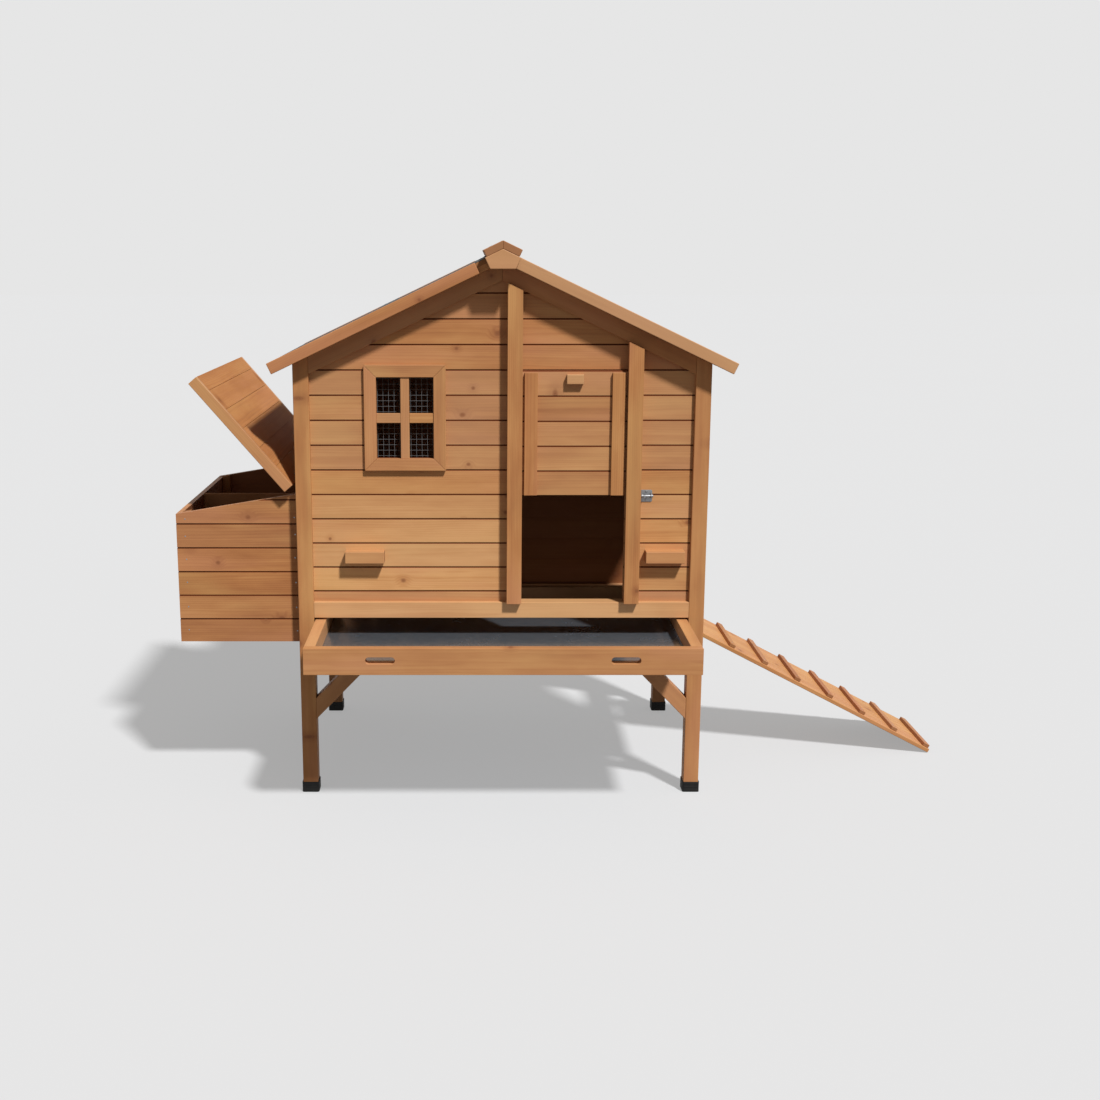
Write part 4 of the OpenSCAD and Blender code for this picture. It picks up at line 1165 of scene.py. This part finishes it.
def felt_strip(name, start, steps):
    """A strip along the roof, from a distance down the slope, drawn out by steps of (down, out)."""
    clear_selection()
    bpy.ops.mesh.primitive_plane_add(size=1.0)
    strip = bpy.context.object
    strip.scale = (START_WIDTH, felt_high.y - felt_low.y, 1.0)
    strip.location = (start + START_WIDTH / 2.0, (felt_low.y + felt_high.y) / 2.0, FELT_TOP - FELT)
    apply_place(strip)
    for down, out in steps:
        furthest = max(vertex.co.x for vertex in strip.data.vertices) - SAME_PLACE
        lowest = min(vertex.co.z for vertex in strip.data.vertices if vertex.co.x > furthest) + SAME_PLACE
        pick_edges(strip, lambda a, b: min(a.x, b.x) > furthest and max(a.z, b.z) < lowest)
        draw_out(down, 0.0, out)
    modify(strip, "SOLIDIFY", thickness=FELT, offset=-1.0)
    soften(strip, 0.0006, angle=30.0)
    strip.name = name
    return strip


print("from the ridge to the eaves:", round(eave, 3), "m of felt")

# %% [markdown]
# ## Laying the felt
#
# Both slopes get a lower and an upper strip. The lower one ends in a bend and a fold down over the
# eaves, and the upper one rises by its own thickness where it climbs on to the lower one. The left slope
# could be modelled too, but a mirrored copy matches better; mirroring turns it inside out, so its faces
# are flipped back.

# %% Two strips on each slope
EAVES_BEND = (0.0015, -0.0006)
EAVES_FOLD = (0.0, -0.016)
LAP_RISE = (0.005, FELT)
BEFORE_RISE = 0.017
lower_steps = [(eave - LAP_START - START_WIDTH - EAVES_BEND[0], 0.0), EAVES_BEND, EAVES_FOLD]
upper_steps = [(LAP_START - BEFORE_RISE, 0.0), LAP_RISE, (LAP_END - LAP_START, 0.0)]
strips = []
for side in (-1, 1):
    mirrored = Matrix.Translation((ridge_x, 0.0, ridge_z)) @ Matrix.Scale(side, 4, (1, 0, 0))
    for name, start, steps in (("lower", LAP_START, lower_steps), ("upper", RIDGE_GAP, upper_steps)):
        strip = felt_strip(name, start, steps)
        strip.data.transform(mirrored @ Matrix.Rotation(ROOF_PITCH, 4, "Y"))
        if side < 0:
            strip.data.flip_normals()
        strips.append(strip)
felt_cover = join(strips, "felt_strips")
hand_over(felt_cover, roof_felt, "felt", "root", "roofing_felt")

# %% [markdown]
# ## The case of a barrel bolt
#
# A small bolt on the outer side of the right guide keeps each door up. Its plate is a stamped square
# with round corners, and two straps are bent over the rod. It could be modelled in its place, but twice
# in two directions, so it is modelled once in its own frame, with X along the wall, Y into the wall and
# the rod on the X axis. A strap is the front half of a tube, drawn out to the plate and then sideways
# into two feet.

# %% Plate and straps
ROD = 0.003
PLATE = 0.028
PLATE_START = 0.001
PLATE_FACE = 0.0035
PLATE_CORNER = 0.0035
SHEET = 0.0015
STRAP_STARTS = (0.003, 0.025)
STRAP_WIDTH = 0.004
STRAP_GAP = 0.0009
STRAP_SHEET = 0.0011
STRAP_SEAT = PLATE_FACE - 0.0006
STRAP_FOOT = 0.003


def bolt_plate():
    clear_selection()
    bpy.ops.mesh.primitive_cube_add(size=1.0)
    plate = bpy.context.object
    plate.scale = (PLATE, SHEET, PLATE)
    plate.location = (PLATE_START + PLATE / 2.0, PLATE_FACE + SHEET / 2.0, 0.0)
    apply_place(plate)
    pick_edges(plate, lambda a, b: abs(a.x - b.x) < SAME_PLACE and abs(a.z - b.z) < SAME_PLACE)
    round_off(PLATE_CORNER, 5)
    soften(plate, 0.0003, angle=50.0)
    return plate


def bolt_strap(start):
    """A band bent over the rod, with two feet on the plate."""
    clear_selection()
    bpy.ops.mesh.primitive_cylinder_add(vertices=32, radius=ROD + STRAP_GAP, depth=STRAP_WIDTH,
                                        end_fill_type="NOTHING", rotation=(0.0, math.radians(90.0), 0.0))
    strap = bpy.context.object
    apply_place(strap)
    pick_faces(strap, lambda centre, normal: centre.y > 0.0)
    bpy.ops.mesh.delete(type="FACE")
    pick_edges(strap, lambda a, b: abs(a.y) < SAME_PLACE and abs(b.y) < SAME_PLACE)
    draw_out(0.0, STRAP_SEAT, 0.0)
    for side in (-1.0, 1.0):
        pick_edges(strap, lambda a, b: min(a.y, b.y) > STRAP_SEAT - SAME_PLACE
                   and min(a.z * side, b.z * side) > 0.0)
        draw_out(0.0, 0.0, side * STRAP_FOOT)
    modify(strap, "SOLIDIFY", thickness=STRAP_SHEET, offset=0.0)
    soften(strap, 0.00025, angle=50.0)
    strap.data.transform(Matrix.Translation((start + STRAP_WIDTH / 2.0, 0.0, 0.0)))
    return strap


print("bolt plate:", PLATE, "m square")

# %% [markdown]
# ## A screw head
#
# The screws are small pan heads with a cross recess. A cross painted on a disc would look flat in a
# close view, so the rim of a short cylinder is rounded into a dome, and two crossed blades are cut out
# of it. The cross is turned a little, because nobody lines screws up.

# %% Screw head
RECESS_TURN = 20.0


def screw_head(radius=0.0028, height=0.0012):
    """A domed head with a cross recess, looking along -Y, with its seat at y = 0."""
    clear_selection()
    bpy.ops.mesh.primitive_cylinder_add(vertices=20, radius=radius, depth=height,
                                        rotation=(math.radians(90.0), 0.0, 0.0))
    head = bpy.context.object
    head.location = (0.0, -height / 2.0, 0.0)
    apply_place(head)
    pick_edges(head, lambda a, b: max(a.y, b.y) < -height + SAME_PLACE)
    round_off(height * 0.6, 3)
    for turn in (RECESS_TURN, RECESS_TURN + 90.0):
        clear_selection()
        bpy.ops.mesh.primitive_cube_add(size=1.0, rotation=(0.0, math.radians(turn), 0.0))
        blade = bpy.context.object
        blade.scale = (radius * 1.25, height, radius * 0.26)
        blade.location = (0.0, -height, 0.0)
        apply_place(blade)
        modify(head, "BOOLEAN", object=blade, operation="DIFFERENCE", solver="EXACT")
        bpy.data.objects.remove(blade)
    return head


print("screw heads are ready")

# %% [markdown]
# ## The rod of a barrel bolt
#
# The rod is a round bar with rounded ends, and a knob to push it with stands out from it between the
# straps. The knob ends in a flared head. It could be turned from a profile, but two cylinders are all
# that a turner would start from: the end of the smaller one is drawn out, widened and drawn out again.

# %% Rod and knob
ROD_TIP = -0.026
ROD_END = PLATE + 0.003
ROD_ROUND = 0.0008
KNOB_RADIUS = 0.0019
KNOB_REACH = 0.0135
KNOB_HEAD = 0.002
KNOB_FLARE = 0.0006
KNOB_WIDENS = 1.3
KNOB_X = 0.0098


def bolt_rod():
    clear_selection()
    bpy.ops.mesh.primitive_cylinder_add(vertices=28, radius=ROD, depth=ROD_END - ROD_TIP,
                                        rotation=(0.0, math.radians(90.0), 0.0))
    rod = bpy.context.object
    rod.location = ((ROD_TIP + ROD_END) / 2.0, 0.0, 0.0)
    apply_place(rod)
    pick_edges(rod, lambda a, b: abs(a.x - b.x) < SAME_PLACE)
    round_off(ROD_ROUND, 2)
    return rod


def bolt_knob():
    stem = KNOB_REACH - KNOB_HEAD
    clear_selection()
    bpy.ops.mesh.primitive_cylinder_add(vertices=24, radius=KNOB_RADIUS, depth=stem,
                                        rotation=(math.radians(90.0), 0.0, 0.0))
    knob = bpy.context.object
    knob.location = (KNOB_X, -stem / 2.0, 0.0)
    apply_place(knob)
    pick_faces(knob, lambda centre, normal: normal.y < -0.9)
    bpy.ops.mesh.extrude_region_move(TRANSFORM_OT_translate={"value": (0.0, -KNOB_FLARE, 0.0)})
    bpy.ops.transform.resize(value=(KNOB_WIDENS, 1.0, KNOB_WIDENS),
                             center_override=(KNOB_X, -stem - KNOB_FLARE, 0.0))
    draw_out(0.0, KNOB_FLARE - KNOB_HEAD, 0.0)
    soften(knob, 0.0003, angle=60.0)
    return knob


print("the rod is", round(ROD_END - ROD_TIP, 3), "m long")

# %% [markdown]
# ## Fitting the bolts
#
# One bolt sits on the front wall and the other on the side wall, where its frame is turned by a right
# angle. Their places are worked out from the boxes of the CAD rods. The cases belong to the house, and
# each rod moves on its own, so the rods are pieces of their own. They could share one mesh only if they
# moved together.

# %% Two bolts in place
SCREW_UP = 0.0095
front_rod_low, front_rod_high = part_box("front_bolt_rod")
side_rod_low, side_rod_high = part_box("side_bolt_rod")
front_rod_z = (front_rod_low.z + front_rod_high.z) / 2.0
side_rod_z = (side_rod_low.z + side_rod_high.z) / 2.0
quarter_turn = Matrix.Rotation(math.radians(90.0), 4, "Z")
at_front_bolt = Matrix.Translation((front_rod_high.x - ROD_END, front_rod_high.y - ROD, front_rod_z))
side_bolt_place = (side_rod_low.x + ROD, side_rod_high.y - ROD_END, side_rod_z)
at_side_bolt = Matrix.Translation(side_bolt_place) @ quarter_turn
screw_places = [Matrix.Translation((PLATE_START + PLATE / 2.0, PLATE_FACE, z)) for z in (-SCREW_UP, SCREW_UP)]
screws = copies(screw_head(), screw_places, "bolt_screws")
straps = [bolt_strap(start) for start in STRAP_STARTS]
case = join([bolt_plate(), *straps, screws], "bolt_case")
cases = copies(case, [at_front_bolt, at_side_bolt], "barrel_bolts")
smooth(cases, 30.0)
hand_over(cases, zinc_plate, "zinc", "root", "bolt_cases")
for name, place, body in (("front_rod_and_knob", at_front_bolt, "front_bolt"),
                          ("side_rod_and_knob", at_side_bolt, "side_bolt")):
    rod = copies(join([bolt_rod(), bolt_knob()], "bolt_rod"), [place], name)
    smooth(rod, 30.0)
    hand_over(rod, zinc_plate, "zinc", body, body + "_rod")

# %% [markdown]
# ## Where the hinge screws go
#
# Four hinges carry the lid and the ramp. The leaf on the house takes two screws, one on each side of the
# gap into which the moving tab folds, and each tab takes one. Their places could be read off the CAD one
# by one, but all follow from the hinge pins, whose heights and slopes are the CAD's.

# %% Places of the hinge screws
HINGE_LENGTH = 0.048
LEAF = 0.0015
PIN_END = 0.001
RAMP_PIN = (0.94, 0.3414)
RAMP_SLOPE = math.radians(27.6)
LID_PIN = (-0.023, 0.7458)
LID_SLOPE = math.radians(49.6)
LEAF_SCREW = 0.015
TAB_SCREW = 0.0115
KNUCKLE = 0.004
LEAF_SCREWS_ALONG = (HINGE_LENGTH / 6.0, HINGE_LENGTH * 5.0 / 6.0)


def facing(place, normal):
    """A matrix that puts a head at a place, looking along a normal."""
    return Matrix.Translation(place) @ Vector(normal).to_track_quat("-Y", "Z").to_matrix().to_4x4()


leaf_low, leaf_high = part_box("ramp_hinge_leaves")
tab_low, tab_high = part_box("lid_hinge_leaves")
_, rail_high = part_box("base_rails")
ledger_low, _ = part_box("nest_ledger")
ramp_down = Vector((math.cos(RAMP_SLOPE), 0.0, -math.sin(RAMP_SLOPE)))
ramp_out = Vector((math.sin(RAMP_SLOPE), 0.0, math.cos(RAMP_SLOPE)))
lid_up = Vector((-math.cos(LID_SLOPE), 0.0, math.sin(LID_SLOPE)))
lid_out = Vector((math.sin(LID_SLOPE), 0.0, math.cos(LID_SLOPE)))
wall_screws = []
ramp_screws = []
lid_screws = []
for start in (leaf_low.y + PIN_END, leaf_high.y - PIN_END - HINGE_LENGTH):
    for along_y in LEAF_SCREWS_ALONG:
        on_rail = (rail_high.x + LEAF, start + along_y, RAMP_PIN[1] + LEAF_SCREW)
        wall_screws.append(facing(on_rail, (1, 0, 0)))
    pin = Vector((RAMP_PIN[0], start + HINGE_LENGTH / 2.0, RAMP_PIN[1]))
    ramp_screws.append(facing(pin + ramp_down * TAB_SCREW + ramp_out * KNUCKLE, ramp_out))
for start in (tab_low.y + PIN_END, tab_high.y - PIN_END - HINGE_LENGTH):
    for along_y in LEAF_SCREWS_ALONG:
        on_ledger = (ledger_low.x - LEAF, start + along_y, LID_PIN[1] - LEAF_SCREW)
        wall_screws.append(facing(on_ledger, (-1, 0, 0)))
    pin = Vector((LID_PIN[0], start + HINGE_LENGTH / 2.0, LID_PIN[1]))
    lid_screws.append(facing(pin + lid_up * TAB_SCREW + lid_out * LEAF, lid_out))
print("hinge screws:", len(wall_screws) + len(ramp_screws) + len(lid_screws))

# %% [markdown]
# ## Driving the hinge screws
#
# The screws of a tab ride with the lid or the ramp and those of a leaf stay on the house. One piece with
# all of them would tear as soon as the lid moves, so there are three.

# %% Three pieces of hinge screws
for name, places, body in (("house_hinge_screws", wall_screws, "root"),
                           ("ramp_hinge_screws", ramp_screws, "ramp"),
                           ("lid_hinge_screws", lid_screws, "nest_lid")):
    heads = copies(screw_head(height=0.0009), places, name)
    smooth(heads, 30.0)
    hand_over(heads, zinc_plate, "zinc", body)

# %% [markdown]
# ## Nails in the nest box
#
# Small round heads show at the ends of the nest box's boards. A bump in the wood could stand for them,
# but real heads catch the light at their rims. Each is a short cylinder whose rim is rounded, a few
# dozen faces at most, because there are many of them. They sit a hair proud of the face, in rows worked
# out from the boxes of the boards, and no row is quite straight.


# %% A nail head and how far it misses its row
def nail_head(radius=0.0017, height=0.0009):
    """A nail head looking along -Y, sunk by half its height into the face at y = 0."""
    clear_selection()
    bpy.ops.mesh.primitive_cylinder_add(vertices=12, radius=radius, depth=height,
                                        rotation=(math.radians(90.0), 0.0, 0.0))
    head = bpy.context.object
    apply_place(head)
    pick_edges(head, lambda a, b: max(a.y, b.y) < -height / 2.0 + SAME_PLACE)
    round_off(height * 0.4, 2)
    return head


wobble = random.Random("nest nails")


def slip(reach=0.004):
    """How far a nail misses its row."""
    return wobble.uniform(-reach, reach)


print("nail heads are ready")

# %% Nail the nest box
BOARD_PITCH = 0.0575
BOARD_ROWS = 5
SUNK = 0.00044
FROM_OUTER_END = 0.021
FROM_HOUSE = 0.009
FROM_CORNER = 0.01
UNDER_OUTER_RIM = 0.012
UNDER_HOUSE_RIM = 0.008
nest_low, nest_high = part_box("nest_front")
_, nest_rear_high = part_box("nest_rear")
end_low, end_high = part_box("nest_end_wall")
outer_x = nest_low.x + FROM_OUTER_END
house_x = nest_high.x - FROM_HOUSE
nest_nails = []
for row in range(BOARD_ROWS):
    z = nest_low.z + (row + 0.5) * BOARD_PITCH
    for x in (outer_x, house_x):
        nest_nails.append(facing((x + slip(0.001), nest_low.y, z + slip()), (0, -1, 0)))
        nest_nails.append(facing((x, nest_rear_high.y, z + slip()), (0, 1, 0)))
    for y in (end_low.y + FROM_CORNER, end_high.y - FROM_CORNER):
        nest_nails.append(facing((end_low.x + SUNK, y, z + slip()), (-1, 0, 0)))
for x, z in ((outer_x, end_high.z - UNDER_OUTER_RIM), (house_x, end_high.z - UNDER_HOUSE_RIM)):
    nest_nails.append(facing((x, nest_low.y, z), (0, -1, 0)))
    nest_nails.append(facing((x, nest_rear_high.y, z), (0, 1, 0)))
nails = copies(nail_head(), nest_nails, "nest_box_nails")
hand_over(nails, nail_steel, "zinc", "root")

# %% [markdown]
# ## Nails on the roof
#
# The felt takes wide clout nails so that it doesn't tear: a row through the lap, a row above the eaves
# and a few along both verges. The ridge boards take plain nails. Their places could be set in the scene,
# but a slope makes that hard to read, so they are counted down the slope and out from it.


# %% Nail the felt and the ridge boards
def spread(start, end, count):
    """Places at even steps from a start to an end."""
    return [start + (end - start) * step / (count - 1) for step in range(count)]


ROW_NAILS = 8
RIDGE_NAILS = 6
LAP_NAIL = LAP_END - 0.012
EAVES_NAIL = eave - 0.022
VERGE_INSET = 0.014
ROW_INSET = 0.05
LAP_MARGIN = 0.04
STRIP_MARGIN = 0.075
RIDGE_INSET = 0.03
RIDGE_DOWN = 0.026
ridge_low, ridge_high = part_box("ridge_cap")
felt_nails = []
ridge_nails = []
for side in (-1.0, 1.0):
    slope_out = Vector((side * math.sin(ROOF_PITCH), 0.0, math.cos(ROOF_PITCH)))
    slope_down = Vector((side * math.cos(ROOF_PITCH), 0.0, -math.sin(ROOF_PITCH)))
    row = spread(felt_low.y + ROW_INSET, felt_high.y - ROW_INSET, ROW_NAILS)
    spots = [(LAP_NAIL, FELT_TOP, y) for y in row] + [(EAVES_NAIL, FELT_TOP - FELT, y) for y in row]
    for y in (felt_low.y + VERGE_INSET, felt_high.y - VERGE_INSET):
        verge = spread(STRIP_MARGIN, LAP_START - LAP_MARGIN, 3)
        verge += spread(LAP_END + LAP_MARGIN, eave - STRIP_MARGIN, 2)
        spots += [(down, FELT_TOP - FELT, y) for down in verge]
    for down, height, y in spots:
        place = Vector((ridge_x, 0.0, ridge_z)) + slope_down * down + slope_out * height
        felt_nails.append(facing((place.x, y + slip(), place.z), slope_out))
    for y in spread(ridge_low.y + RIDGE_INSET, ridge_high.y - RIDGE_INSET, RIDGE_NAILS):
        ridge_nails.append(facing(Vector((ridge_x, y, ridge_high.z)) + slope_down * RIDGE_DOWN, slope_out))
clouts = copies(nail_head(radius=0.0042, height=0.0011), felt_nails, "felt_clout_nails")
hand_over(clouts, clout_zinc, "zinc", "root")
cap_nails = copies(nail_head(), ridge_nails, "ridge_nails")
hand_over(cap_nails, nail_steel, "zinc", "root")

# %% [markdown]
# ## Nails in the cleats
#
# Each cleat of the ramp is held by a nail near either end. They move with the ramp, so they are a piece
# of their own. The cleats could be found one by one in the mesh, but they are evenly spaced, so their
# nails are counted up the ramp from the lowest one.

# %% Nail the cleats
CLEATS = 7
CLEAT_PITCH = 0.0969
CLEAT_TOP = 0.0115
LOWEST_CLEAT = 0.711
CLEAT_INSET = 0.02
cleats_low, cleats_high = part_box("ramp_cleats")
cleat_nails = []
for number in range(CLEATS):
    for y in (cleats_low.y + CLEAT_INSET, cleats_high.y - CLEAT_INSET):
        pin = Vector((RAMP_PIN[0], y, RAMP_PIN[1]))
        place = pin + ramp_down * (LOWEST_CLEAT - number * CLEAT_PITCH) + ramp_out * CLEAT_TOP
        cleat_nails.append(facing(place + ramp_down * slip(0.002), ramp_out))
cleat_heads = copies(nail_head(), cleat_nails, "cleat_nails")
hand_over(cleat_heads, nail_steel, "zinc", "ramp")
